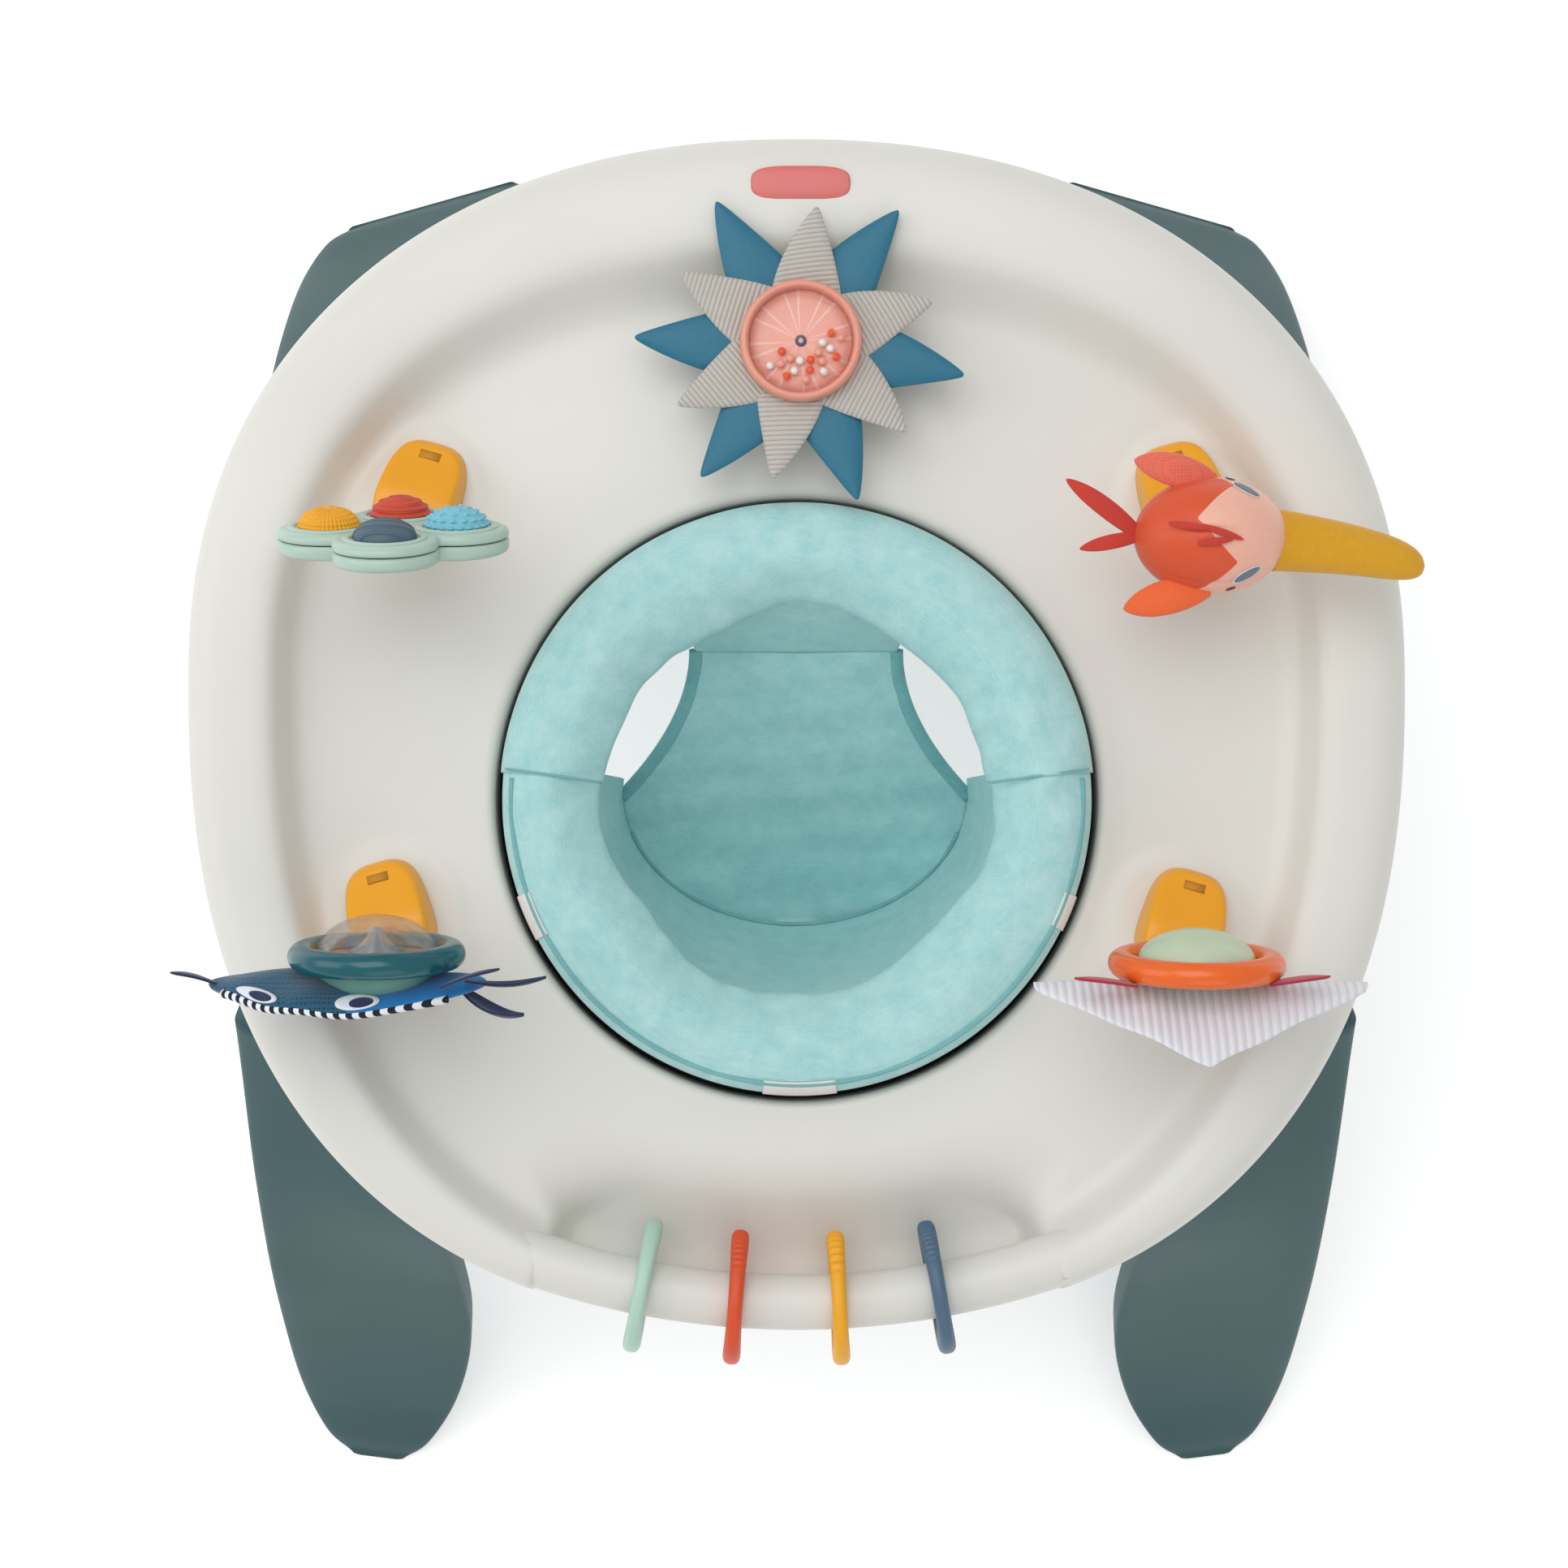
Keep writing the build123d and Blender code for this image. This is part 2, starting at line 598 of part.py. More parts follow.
save(stem(FISH, -47, 0), "stem_fish")
save(toy_ring(FISH), "fish_ring")
save(window_dome(FISH, 22, 1, 0.5), "fish_dome")
with BuildPart() as fish_back:
    add(window_dome(FISH, 20, -1, 2.5))
    with BuildSketch(toy_face(FISH, -2.5)):
        Circle(TOY_WINDOW_R)
    extrude(amount=2.5)
    with BuildSketch(toy_face(FISH)):
        Circle(2)
    extrude(amount=12)
save(fish_back.part, "fish_back")
with BuildPart() as fish_spinner:
    with Locations(toy_face(FISH, 1 + 7.5)):
        Cone(SPINNER_R, 4.5, 15)
    with BuildSketch(toy_face(FISH, 0.5)):
        Circle(2.6)
    extrude(amount=12, mode=Mode.SUBTRACT)
save(fish_spinner.part, "fish_spinner")


def soft_body(toy, points, depth):
    """A padded cloth body behind a window toy's ring, cut away round the ring's back dome."""
    with BuildPart() as body:
        with BuildSketch(toy_face(toy, -9)):
            with BuildLine():
                Spline(*points, periodic=True)
            make_face()
            Circle(TOY_WINDOW_R + 1.5, mode=Mode.SUBTRACT)
        extrude(amount=-depth)
    return body.part


FISH_OUTLINE = [(114, 6), (70, 30), (20, 49), (-30, 46), (-70, 26), (-97, 4), (-66, -26), (-20, -48), (30, -47), (72, -26)]
save(soft_body(FISH, FISH_OUTLINE, 24), "fish_body")

save(stem(RAY, -47, 0), "stem_ray")
save(toy_ring(RAY), "ray_ring")
with BuildPart() as ray_dome:
    add(window_dome(RAY, 22, 1, 0.5))
    with BuildSketch(toy_face(RAY, -2)):
        Circle(TOY_WINDOW_R)
    extrude(amount=2.5)
save(ray_dome.part, "ray_dome")
RAY_OUTLINE = [(104, 0), (60, 26), (22, 50), (-22, 50), (-60, 26), (-104, 0), (-60, -28), (-20, -50), (20, -50), (60, -28)]
save(soft_body(RAY, RAY_OUTLINE, 22), "ray_body")

# Bird toy: a padded body on its stem, with felt wings and beak
save(stem(BIRD, -31, 0), "stem_bird")
bird_x, bird_y, bird_z = BIRD[:3]
ball = scale(Sphere(BIRD_HALF[1]), by=(BIRD_HALF[0] / BIRD_HALF[1], 1, 1))
with BuildPart() as bird_body:
    with Locations((bird_x, bird_y, bird_z)):
        add(ball)
    with BuildSketch(stem_plane(BIRD, -60)):
        Circle(STEM_R)
    extrude(amount=29, mode=Mode.SUBTRACT)
save(bird_body.part, "bird_body")
with BuildPart() as bird_beak:
    with BuildSketch(Plane(origin=(bird_x + 45, bird_y - 6, bird_z), x_dir=(0, 1, 0), z_dir=(1, -0.1, 0))):
        Ellipse(17, 12)
    with BuildSketch(Plane(origin=(bird_x + 122, bird_y - 14, bird_z - 3), x_dir=(0, 1, 0), z_dir=(1, -0.1, 0))):
        Ellipse(4, 3)
    loft()
save(bird_beak.part, "bird_beak")
with BuildPart() as bird_wings:
    for end in (-1, 1):
        with BuildSketch(Plane.XY.offset(bird_z + 2)):
            with Locations((bird_x - 6, bird_y + end * (BIRD_HALF[1] + 18))):
                Ellipse(30, 21)
        extrude(amount=4)
    with Locations((bird_x, bird_y, bird_z)):
        add(ball, mode=Mode.SUBTRACT)
save(bird_wings.part, "bird_wings")

# Sun toy
with BuildPart() as sun_base:
    with Locations((SUN[0], SUN[1], DISH_Z)):
        Cone(34, 26, 24, align=(Align.CENTER, Align.CENTER, Align.MIN))
        Cylinder(4, 40, align=(Align.CENTER, Align.CENTER, Align.MIN))
save(sun_base.part, "sun_base")
with BuildPart() as sun_bezel:
    with Locations((SUN[0], SUN[1], SUN_HUB_Z)):
        Cylinder(SUN_HUB_R, 11.6, align=(Align.CENTER, Align.CENTER, Align.MIN))
    with Locations((SUN[0], SUN[1], SUN_HUB_Z + 2.6)):
        Cylinder(31.4, 20, align=(Align.CENTER, Align.CENTER, Align.MIN), mode=Mode.SUBTRACT)
    fillet(sun_bezel.edges().group_by(Axis.Z)[-1], 2)
    with Locations((SUN[0], SUN[1], DISH_Z + 24.6)):
        Cylinder(7, SUN_HUB_Z - DISH_Z - 24.6, align=(Align.CENTER, Align.CENTER, Align.MIN))
        Cylinder(4.6, 16.2, align=(Align.CENTER, Align.CENTER, Align.MIN), mode=Mode.SUBTRACT)
save(sun_bezel.part, "sun_bezel")
with BuildPart() as sun_dial:
    with Locations((SUN[0], SUN[1], SUN_HUB_Z + 2.6)):
        Cylinder(31, 2.2, align=(Align.CENTER, Align.CENTER, Align.MIN))
save(sun_dial.part, "sun_dial")
CAP_Z = SUN_HUB_Z + 5
CAP_HEIGHT = 18.0
CAP_R = (31.0**2 + CAP_HEIGHT**2) / (2 * CAP_HEIGHT)
with BuildPart() as sun_dome:
    with Locations((SUN[0], SUN[1], CAP_Z + CAP_HEIGHT - CAP_R)):
        Sphere(CAP_R)
        Sphere(CAP_R - 1.6, mode=Mode.SUBTRACT)
    with Locations((SUN[0], SUN[1], CAP_Z)):
        Cylinder(60, 60, align=(Align.CENTER, Align.CENTER, Align.MIN), mode=Mode.INTERSECT)
save(sun_dome.part, "sun_dome")
with BuildPart() as sun_beads:
    for k in range(15):
        radius = 14 + 3.4 * (k % 3)
        turn = radians(-150 + 9 * k)
        with Locations((SUN[0] + radius * cos(turn), SUN[1] + radius * sin(turn), CAP_Z + 2.4 + 0.01)):
            if k % 3 != 1 or k % 2 == 0:
                Sphere(1.6)
save(sun_beads.part, "sun_beads")


def sun_ray(turn, reach):
    """One pointed cloth ray, lying at the given turn about the sun's middle."""
    points = []
    for out, across in ((18, -17), (52, -19), (reach, 0), (52, 19), (18, 17)):
        x = SUN[0] + out * cos(turn) - across * sin(turn)
        points.append((x, SUN[1] + out * sin(turn) + across * cos(turn)))
    with BuildSketch(mode=Mode.PRIVATE) as flat:
        with BuildLine():
            Spline(*points)
            Line(points[-1], points[0])
        make_face()
    return flat.sketch


for name, reach in SUN_RAY_R.items():
    six = [sun_ray(radians(SUN_RAY_PHASE[name] + 60 * k), reach) for k in range(6)]
    with BuildPart() as rays:
        with BuildSketch(Plane.XY.offset(SUN_RAY_Z[name])):
            with Locations(SUN):
                Circle(34)
            add(six)
            with Locations(SUN):
                Circle(7.4, mode=Mode.SUBTRACT)
        extrude(amount=3.8)
    save(rays.part, f"sun_rays_{name}")

# Teething rings
for name, x in RING_X.items():
    turn = x / HANDLE_ARC_R
    spot = (HANDLE_ARC_R * sin(turn), HANDLE_AXIS_Y - HANDLE_ARC_R * cos(turn), RING_Z)
    with BuildPart() as ring:
        with BuildSketch(Plane(origin=spot, z_dir=(cos(turn), sin(turn), 0)).offset(-RING_THICK / 2)):
            Circle(RING_R)
            Circle(RING_HOLE_R, mode=Mode.SUBTRACT)
        extrude(amount=RING_THICK)
        fillet(ring.edges(), 3.5)
    save(ring.part, f"ring_{name}")
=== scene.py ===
"""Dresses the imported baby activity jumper: tray, grab bar, padded seat, legs, toys and rings."""

import bpy
import numpy as np

import bmesh
from mathutils import Matrix, Vector


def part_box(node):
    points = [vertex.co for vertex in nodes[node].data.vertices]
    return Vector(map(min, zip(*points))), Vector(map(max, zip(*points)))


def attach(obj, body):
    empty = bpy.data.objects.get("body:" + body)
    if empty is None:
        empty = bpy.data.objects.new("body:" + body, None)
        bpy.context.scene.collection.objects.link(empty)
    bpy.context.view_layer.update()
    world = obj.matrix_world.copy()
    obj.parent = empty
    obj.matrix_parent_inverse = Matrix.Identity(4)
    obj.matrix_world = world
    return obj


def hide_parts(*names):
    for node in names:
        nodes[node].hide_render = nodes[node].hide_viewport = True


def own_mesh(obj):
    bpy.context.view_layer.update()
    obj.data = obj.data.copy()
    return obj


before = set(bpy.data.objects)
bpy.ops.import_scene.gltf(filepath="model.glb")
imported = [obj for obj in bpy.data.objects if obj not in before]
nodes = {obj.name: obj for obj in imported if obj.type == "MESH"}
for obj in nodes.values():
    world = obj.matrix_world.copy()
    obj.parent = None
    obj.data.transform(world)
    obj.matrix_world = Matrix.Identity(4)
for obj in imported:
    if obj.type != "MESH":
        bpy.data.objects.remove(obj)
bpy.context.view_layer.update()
MM = 0.001
TURN = 2 * np.pi
rng = np.random.default_rng(7)


# --- Tray -----------------------------------------------------------------------------------------
# One large injection moulding in warm white polypropylene: a fat rolled rim, a step down into a shallow dish,
# a round seat hole, and a sloping trough at the front that gives fingers room behind the grab bar.

RIM_Z = 430.0
DISH_Z = 400.0
SKIRT_Z = 352.0
TRAY_WALL = 4.0
HOLE_R = 183.5
EGG_Y = 77.0
TRAY_REACH = (370.0, 327.0, 396.0)
BAR_AXIS_Y = 187.0
BAR_ARC_R = 490.0
BAR_R = 16.5
BAR_Z = RIM_Z - BAR_R
BAR_HALF_DEG = 17.5
RING_Z = 403.4
TROUGH_R = 46.4


def linear(hex_colour):
    """sRGB hex to linear RGBA."""
    parts = np.array([int(hex_colour[i : i + 2], 16) / 255 for i in (1, 3, 5)])
    parts = np.where(parts <= 0.04045, parts / 12.92, ((parts + 0.055) / 1.055) ** 2.4)
    return (*parts, 1.0)


def add_node(tree, kind, inputs=(), **settings):
    """Adds a shader node; inputs maps a socket to a value or to another node's output."""
    made = tree.nodes.new(kind)
    for key, value in settings.items():
        setattr(made, key, value)
    for socket, value in dict(inputs).items():
        if isinstance(value, bpy.types.NodeSocket):
            tree.links.new(value, made.inputs[socket])
        else:
            made.inputs[socket].default_value = value
    return made


def new_material(name):
    """An empty node material with its shader, its object coordinates and its tree."""
    made = bpy.data.materials.new(name)
    made.use_nodes = True
    tree = made.node_tree
    return made, tree, tree.nodes["Principled BSDF"], add_node(tree, "ShaderNodeTexCoord").outputs["Object"]


def moulded(name, colour, shade, roughness=0.38, grain_mm=0.7, depth=0.12, **shader_values):
    """Moulded plastic: dyed through, so the colour only drifts faintly, with a fine etched grain."""
    made, tree, shader, where = new_material(name)
    cloud = add_node(tree, "ShaderNodeTexNoise", {"Vector": where, "Scale": 9.0, "Detail": 3.0})
    drift = add_node(
        tree,
        "ShaderNodeMix",
        {"Factor": cloud.outputs["Fac"], "A": linear(colour), "B": linear(shade)},
        data_type="RGBA",
    )
    grain = add_node(
        tree, "ShaderNodeTexNoise", {"Vector": where, "Scale": 1 / (grain_mm * MM), "Detail": 2.0}
    )
    scuff = add_node(
        tree,
        "ShaderNodeMapRange",
        {"Value": cloud.outputs["Fac"], "To Min": roughness - 0.05, "To Max": roughness + 0.07},
    )
    bump = add_node(
        tree, "ShaderNodeBump", {"Height": grain.outputs["Fac"], "Strength": depth, "Distance": 0.2 * MM}
    )
    tree.links.new(drift.outputs["Result"], shader.inputs["Base Color"])
    tree.links.new(scuff.outputs["Result"], shader.inputs["Roughness"])
    tree.links.new(bump.outputs["Normal"], shader.inputs["Normal"])
    for socket, value in shader_values.items():
        shader.inputs[socket.replace("_", " ")].default_value = value
    return made


def grid_mesh(name, grid, material, body, replaced=(), wrap=True, caps=(False, False), uv=None, wall=0.0):
    """Skins a rows-by-columns grid of points given in millimetres; wrap joins the last column to the first.

    A capped end row closes on its own middle. uv gives each grid point its place on the cloth, in metres.
    """
    rows, cols = grid.shape[:2]
    points = grid.reshape(-1, 3) * MM
    index = np.arange(rows * cols).reshape(rows, cols)
    here, beside = (index, np.roll(index, -1, axis=1)) if wrap else (index[:, :-1], index[:, 1:])
    quads = np.stack([here[:-1], beside[:-1], beside[1:], here[1:]], axis=-1).reshape(-1, 4)
    faces = quads.tolist()
    for row, capped in zip((0, -1), caps):
        if capped:
            faces += np.stack(
                [here[row], beside[row], np.full(here.shape[1], len(points))], axis=-1
            ).tolist()
            points = np.vstack([points, grid[row].mean(axis=0) * MM])
    mesh = bpy.data.meshes.new(name)
    mesh.from_pydata(points, [], faces)
    if uv is not None:
        flat = np.vstack(
            [uv.reshape(-1, 2), np.repeat(uv.reshape(-1, 2)[:1], len(points) - rows * cols, axis=0)]
        )
        corner = np.empty(len(mesh.loops), dtype=np.int32)
        mesh.loops.foreach_get("vertex_index", corner)
        mesh.uv_layers.new(name="cloth").data.foreach_set("uv", flat[corner].ravel())
    work = bmesh.new()
    work.from_mesh(mesh)
    bmesh.ops.remove_doubles(work, verts=work.verts, dist=1e-6)
    bmesh.ops.recalc_face_normals(work, faces=work.faces)
    work.to_mesh(mesh)
    work.free()
    mesh.polygons.foreach_set("use_smooth", [True] * len(mesh.polygons))
    made = bpy.data.objects.new(name, mesh)
    bpy.context.scene.collection.objects.link(made)
    mesh.materials.append(material)
    if wall:
        skin = made.modifiers.new("thickness", "SOLIDIFY")
        skin.thickness = wall * MM
        skin.offset = 0.0
    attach(made, body)
    if replaced:
        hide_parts(*replaced)
    return made


def smoothstep(value, low, high):
    """0 below low, 1 above high, and a smooth S between them."""
    t = np.clip((value - low) / (high - low), 0, 1)
    return t * t * (3 - 2 * t)


def egg(turn, reach):
    """Superellipse outline whose back half and front half have their own depth; returns x and y."""
    half_width, back, front = reach
    behind = np.sin(turn) >= 0
    power = np.where(behind, 2.2, 2.4)
    x = half_width * np.sign(np.cos(turn)) * np.abs(np.cos(turn)) ** (2 / power)
    y = EGG_Y + np.where(behind, back, front) * np.sign(np.sin(turn)) * np.abs(np.sin(turn)) ** (2 / power)
    return np.stack([x, y], axis=-1)


def trough(x, y):
    """Height of the trough floor behind the bar: a slope that runs tangent into a round bottom."""
    out = np.hypot(x, BAR_AXIS_Y - y) - BAR_ARC_R
    slope = RING_Z - TROUGH_R / 0.8 - out * 0.75
    round_bottom = RING_Z - np.sqrt(np.clip(TROUGH_R**2 - np.minimum(out, 0) ** 2, 0, None))
    return np.where(out < -0.6 * TROUGH_R, slope, round_bottom)


# The section through the rim, from the collar in the seat hole out to the skirt: how far it has gone from
# the hole to the outer edge (0 hole, 1 dish foot, 2 step top, 3 outer edge) and its height.
collar = [
    (0.0, SKIRT_Z), (0.0, 376), (0.0, 395.0), (0.008, 398.6), (0.03, 400.6), (0.06, 400.9), (0.1, 400.2)
]
floor = [(s, DISH_Z) for s in np.linspace(0.15, 0.9, 26)]
foot = [
    (0.94, DISH_Z + 0.4),
    (0.97, DISH_Z + 1.5),
    (1.0, DISH_Z + 3.4),
    (1.25, 408.5),
    (1.5, 415.5),
    (1.75, 422.5),
    (1.95, 426.6),
]
crest = [
    (2.08, 428.6),
    (2.2, 429.7),
    (2.32, 430.0),
    (2.45, 430.0),
    (2.58, 429.6),
    (2.7, 428.2),
    (2.8, 425.8),
    (2.88, 422.4),
    (2.94, 418.0),
    (2.975, 412.5),
]
skirt = [
    (2.99, 406.0),
    (3.0, 398.0),
    (3.0, 388.0),
    (3.0, 376.0),
    (3.0, 364.0),
    (2.995, SKIRT_Z + 2),
    (2.98, SKIRT_Z),
]
outside = np.array(collar + floor + foot + crest + skirt)
inside = outside[::-1].copy()
inside[:, 1] -= TRAY_WALL
inside[:, 1] = np.clip(inside[:, 1], SKIRT_Z, None)
inside[:, 0] = np.where(inside[:, 0] > 2.9, inside[:, 0] - 0.085, inside[:, 0])
inside[:, 0] = np.where(inside[:, 0] < 0.02, 0.036, inside[:, 0])
section = np.vstack([outside, inside])
COLUMNS = 720
turn = np.linspace(0, TURN, COLUMNS, endpoint=False)
outlines = np.stack(
    [
        HOLE_R * np.stack([np.cos(turn), np.sin(turn)], axis=-1),
        egg(turn, (305.0, 233.0, 364.0)),
        egg(turn, (317.0, 260.0, 376.0)),
        egg(turn, TRAY_REACH),
    ]
)
steps = np.clip(section[:, 0], 0, 2.9999)
low = steps.astype(int)
part_way = (steps - low)[:, None, None]
flat = outlines[low] * (1 - part_way) + outlines[low + 1] * part_way
height = np.repeat(section[:, 1][:, None], COLUMNS, axis=1)
x, y = flat[..., 0], flat[..., 1]
bearing = np.degrees(np.abs(np.arctan2(x, BAR_AXIS_Y - y)))
from_bar = BAR_ARC_R - np.hypot(x, BAR_AXIS_Y - y)
fade_from = BAR_HALF_DEG - 0.7 - 5.0 * smoothstep(from_bar, 18, 60)
fade_to = BAR_HALF_DEG + 1.0 + 5.0 * smoothstep(from_bar, 18, 60)
scooped = (1 - smoothstep(bearing, fade_from, fade_to)) * (y < -100)
inner_side = (np.arange(len(section)) >= len(outside))[:, None]
floor_height = trough(x, y) - inner_side * TRAY_WALL
gap = np.clip(0.5 + (floor_height - height) / 24.0, 0, 1)
lowered = height * gap + floor_height * (1 - gap) - 12.0 * gap * (1 - gap)
lowered = np.where(from_bar < -6, np.minimum(height, floor_height), lowered)
lowered = np.maximum(lowered, SKIRT_Z)
height = height * (1 - scooped) + lowered * scooped
for pod in ("stem_popper", "stem_fish", "stem_ray", "stem_bird"):
    (x0, y0, _), (x1, y1, _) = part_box(pod)
    away = np.hypot(x - (x0 + x1) / 2 / MM, (y - (y0 + y1) / 2 / MM - 12) * 0.92)
    on_floor = (np.abs(height - DISH_Z) < 3) | inner_side
    height = height + np.where(on_floor, 2.2 * (1 - smoothstep(away, 36, 47)), 0)
tray_white = moulded("abs_warm_white", "#dfded8", "#dad9d2", 0.45, 0.8, 0.10)
grid = np.stack([x, y, height], axis=-1)
tray = grid_mesh("tray_shell", np.vstack([grid, grid[:1]]), tray_white, "frame", ["tray_top"])

# A blank coral plate with plain rounded ends, pressed on to the back of the rim.
PLATE_HALF = (30.0, 10.5)
around = np.linspace(0, TURN, 96, endpoint=False)
plate_x = PLATE_HALF[0] * np.sign(np.cos(around)) * np.abs(np.cos(around)) ** 0.6
plate_y = PLATE_HALF[1] * np.sign(np.sin(around)) * np.abs(np.sin(around)) ** 0.6
levels = np.array([(1.0, -1.0), (1.0, 0.5), (0.985, 0.9), (0.95, 1.05), (0.5, 1.1)])
plate = np.stack(
    [
        2.0 + levels[:, :1] * plate_x,
        371.0 + levels[:, :1] * plate_y,
        RIM_Z + levels[:, 1:] - 1.1 * (np.abs(levels[:, :1] * plate_y - 2) / 12.0) ** 2.0,
    ],
    axis=-1,
)
coral_plate = moulded("printed_coral_plaque", "#d9706b", "#d26a66", 0.35)
grid_mesh("rim_plaque", plate, coral_plate, "frame", caps=(True, True))

# --- Grab bar -------------------------------------------------------------------------------------
# A round bar moulded with the rim; it bridges the trough and sinks into the rim at both ends.
BAR_END_DEG = 21.0
bearings = np.radians(np.linspace(-BAR_END_DEG, BAR_END_DEG, 121))[:, None]
round_about = np.linspace(0, TURN, 64, endpoint=False)[None, :]
shrink = 1 - 0.10 * smoothstep(np.abs(np.degrees(bearings)), 18.5, BAR_END_DEG)
out = BAR_ARC_R + BAR_R * shrink * np.cos(round_about)
bar = np.stack(
    [
        out * np.sin(bearings),
        BAR_AXIS_Y - out * np.cos(bearings),
        BAR_Z + BAR_R * shrink * np.sin(round_about) + 0 * out,
    ],
    axis=-1,
)
grid_mesh("grab_bar", bar, tray_white, "frame", ["handle_bar"], caps=(True, True))

# --- Under the tray -------------------------------------------------------------------------------
# The cover plate, the leg sleeves and the rings that carry the seat are ribbed grey mouldings; posts and
# screws are zinc-plated steel with a drawn grain. These keep their machined shapes.
soft_grey = moulded("abs_light_grey", "#b9bbb9", "#b1b4b2", 0.5, 0.9, 0.2)
zinc = moulded("zinc_plated_steel", "#b9bbc0", "#a3a6ab", 0.32, 0.4, 0.1, Metallic=1.0)
spring_steel = moulded("oiled_spring_wire", "#83868c", "#6c6f75", 0.36, 0.5, 0.15, Metallic=1.0)


def dress(node, material, bevel_mm=0.0):
    """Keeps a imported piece's own shape, welds its facets for a soft shade, and gives it its material."""
    kept = nodes[node]
    kept.data.materials.clear()
    kept.data.materials.append(material)
    weld = kept.modifiers.new("weld", "WELD")
    weld.merge_threshold = 0.01 * MM
    if bevel_mm:
        edge = kept.modifiers.new("edge", "BEVEL")
        edge.width = bevel_mm * MM
        edge.segments = 2
        edge.limit_method = "ANGLE"
        edge.angle_limit = np.radians(40)
    return kept


for node in ("tray_underside", "leg_sleeves", "carrier_ring"):
    dress(node, soft_grey)
# The race ring is near-black green so the gap round the padded seat ring looks dark: painted shade.
dress("race_ring", moulded("race_ring_painted_gap_shade", "#2b3533", "#252e2c", 0.4))
for node in ("tray_screws", "carrier_posts"):
    dress(node, zinc)
# The seat hoop is near-black green for the same reason: painted shade in the gap round the seat ring.
dress("seat_hoop", moulded("seat_hoop_painted_gap_shade", "#1e2a27", "#1a2422", 0.6))

# --- Padded seat ring -----------------------------------------------------------------------------
# A foam-filled ring in an aqua heather canvas with a woven pin-dot. The back half laps over the front half at
# both sides, a cord piping runs round the outer edge, and the cloth gathers in small folds at the inner edge.


def canvas(name, colour, shade, dot, dot_mm=1.35, weave=0.5):
    """Plain-woven canvas: heathered colour, pale pin-dots where weft floats, and soft thread relief."""
    made, tree, shader, where = new_material(name)
    heather = add_node(
        tree, "ShaderNodeTexNoise", {"Vector": where, "Scale": 70.0, "Detail": 6.0, "Roughness": 0.7}
    )
    worn = add_node(
        tree, "ShaderNodeMapRange", {"Value": heather.outputs["Fac"], "From Min": 0.34, "From Max": 0.66}
    )
    base = add_node(
        tree,
        "ShaderNodeMix",
        {"Factor": worn.outputs["Result"], "A": linear(shade), "B": linear(colour)},
        data_type="RGBA",
    )
    pips = add_node(
        tree, "ShaderNodeTexVoronoi", {"Vector": where, "Scale": 1 / (dot_mm * MM), "Randomness": 0.25}
    )
    spot = add_node(
        tree,
        "ShaderNodeMapRange",
        {"Value": pips.outputs["Distance"], "From Min": 0.36, "From Max": 0.16, "To Max": 0.6},
    )
    mixed = add_node(
        tree,
        "ShaderNodeMix",
        {"Factor": spot.outputs["Result"], "A": base.outputs["Result"], "B": linear(dot)},
        data_type="RGBA",
    )
    fuzz = add_node(tree, "ShaderNodeTexNoise", {"Vector": where, "Scale": 1 / (0.9 * MM), "Detail": 2.0})
    relief = add_node(
        tree, "ShaderNodeMath", {0: spot.outputs["Result"], 1: fuzz.outputs["Fac"]}, operation="ADD"
    )
    bump = add_node(
        tree, "ShaderNodeBump", {"Height": relief.outputs["Value"], "Strength": weave, "Distance": 0.5 * MM}
    )
    tree.links.new(mixed.outputs["Result"], shader.inputs["Base Color"])
    tree.links.new(bump.outputs["Normal"], shader.inputs["Normal"])
    shader.inputs["Roughness"].default_value = 0.85
    shader.inputs["Sheen Weight"].default_value = 0.25
    shader.inputs["Sheen Roughness"].default_value = 0.5
    return made


aqua = canvas("aqua_heather_canvas", "#b2dcdc", "#9bcfd0", "#dcf2f0")
# A slightly darker copy of the aqua canvas, dots included, for the inside of the seat: painted shade.
aqua_shaded_copy = canvas("aqua_canvas_painted_shade", "#acd9d9", "#98cccd", "#cbe9e7")
binding = canvas("aqua_binding_tape", "#7cb8ba", "#6eacaf", "#95c9ca", 1.0)
RING_IN = 118.0
RING_OUT = 178.6


def cushion_ring(start_deg, end_deg, proud):
    """Half of the padded ring: a superelliptic roll whose inner lip tucks down and puckers in folds."""
    lap = np.radians(np.linspace(start_deg, end_deg, 260))[:, None]
    roll = np.linspace(0, TURN, 72, endpoint=False)[None, :]
    across, up = np.cos(roll), np.sin(roll)
    across = np.sign(across) * np.abs(across) ** 0.80
    up = np.sign(up) * np.abs(up) ** 0.86
    lobed = 2.6 * np.cos(4 * lap + 0.4) + 2.0 * np.cos(7 * lap + 1.9)
    inner = RING_IN + lobed + 0.5 * np.sin(19 * lap + 4 * np.sin(3 * lap))
    middle = (inner + RING_OUT) / 2
    half = (RING_OUT - inner) / 2 + proud
    radius = middle + half * across
    toward = smoothstep(-across, -0.2, 1.0)
    edge = smoothstep(across, 0.2, 1.0)
    patchy = smoothstep(np.sin(3 * lap + 1.1) + 0.6 * np.sin(5 * lap), -0.2, 1.0)
    pucker = (
        1.5 * np.sin(26 * lap + 5 * np.sin(2 * lap)) + 0.8 * np.sin(47 * lap + 3 * np.sin(5 * lap))
    ) * patchy * toward**2
    crease = 0.9 * np.sin(6 * lap + 3 * across) * (1 - toward) * (1 - edge) + 0.5 * np.sin(
        13 * lap + 3 * np.sin(4 * lap) - 4 * across
    )
    top = 408.5 + (14.5 + proud) * up + (pucker + crease) * (up > 0) - 13.0 * toward**1.5
    return np.stack([radius * np.cos(lap), radius * np.sin(lap), top + 0 * radius], axis=-1)


front_ring = cushion_ring(170.0, 370.0, 0.0)
back_ring = cushion_ring(5.0, 175.0, 1.6)
grid_mesh("seat_ring_front", front_ring, aqua, "seat", ["seat_front_cover"], caps=(True, True))
grid_mesh("seat_ring_back", back_ring, aqua, "seat", ["seat_back_cover"], caps=(True, True))


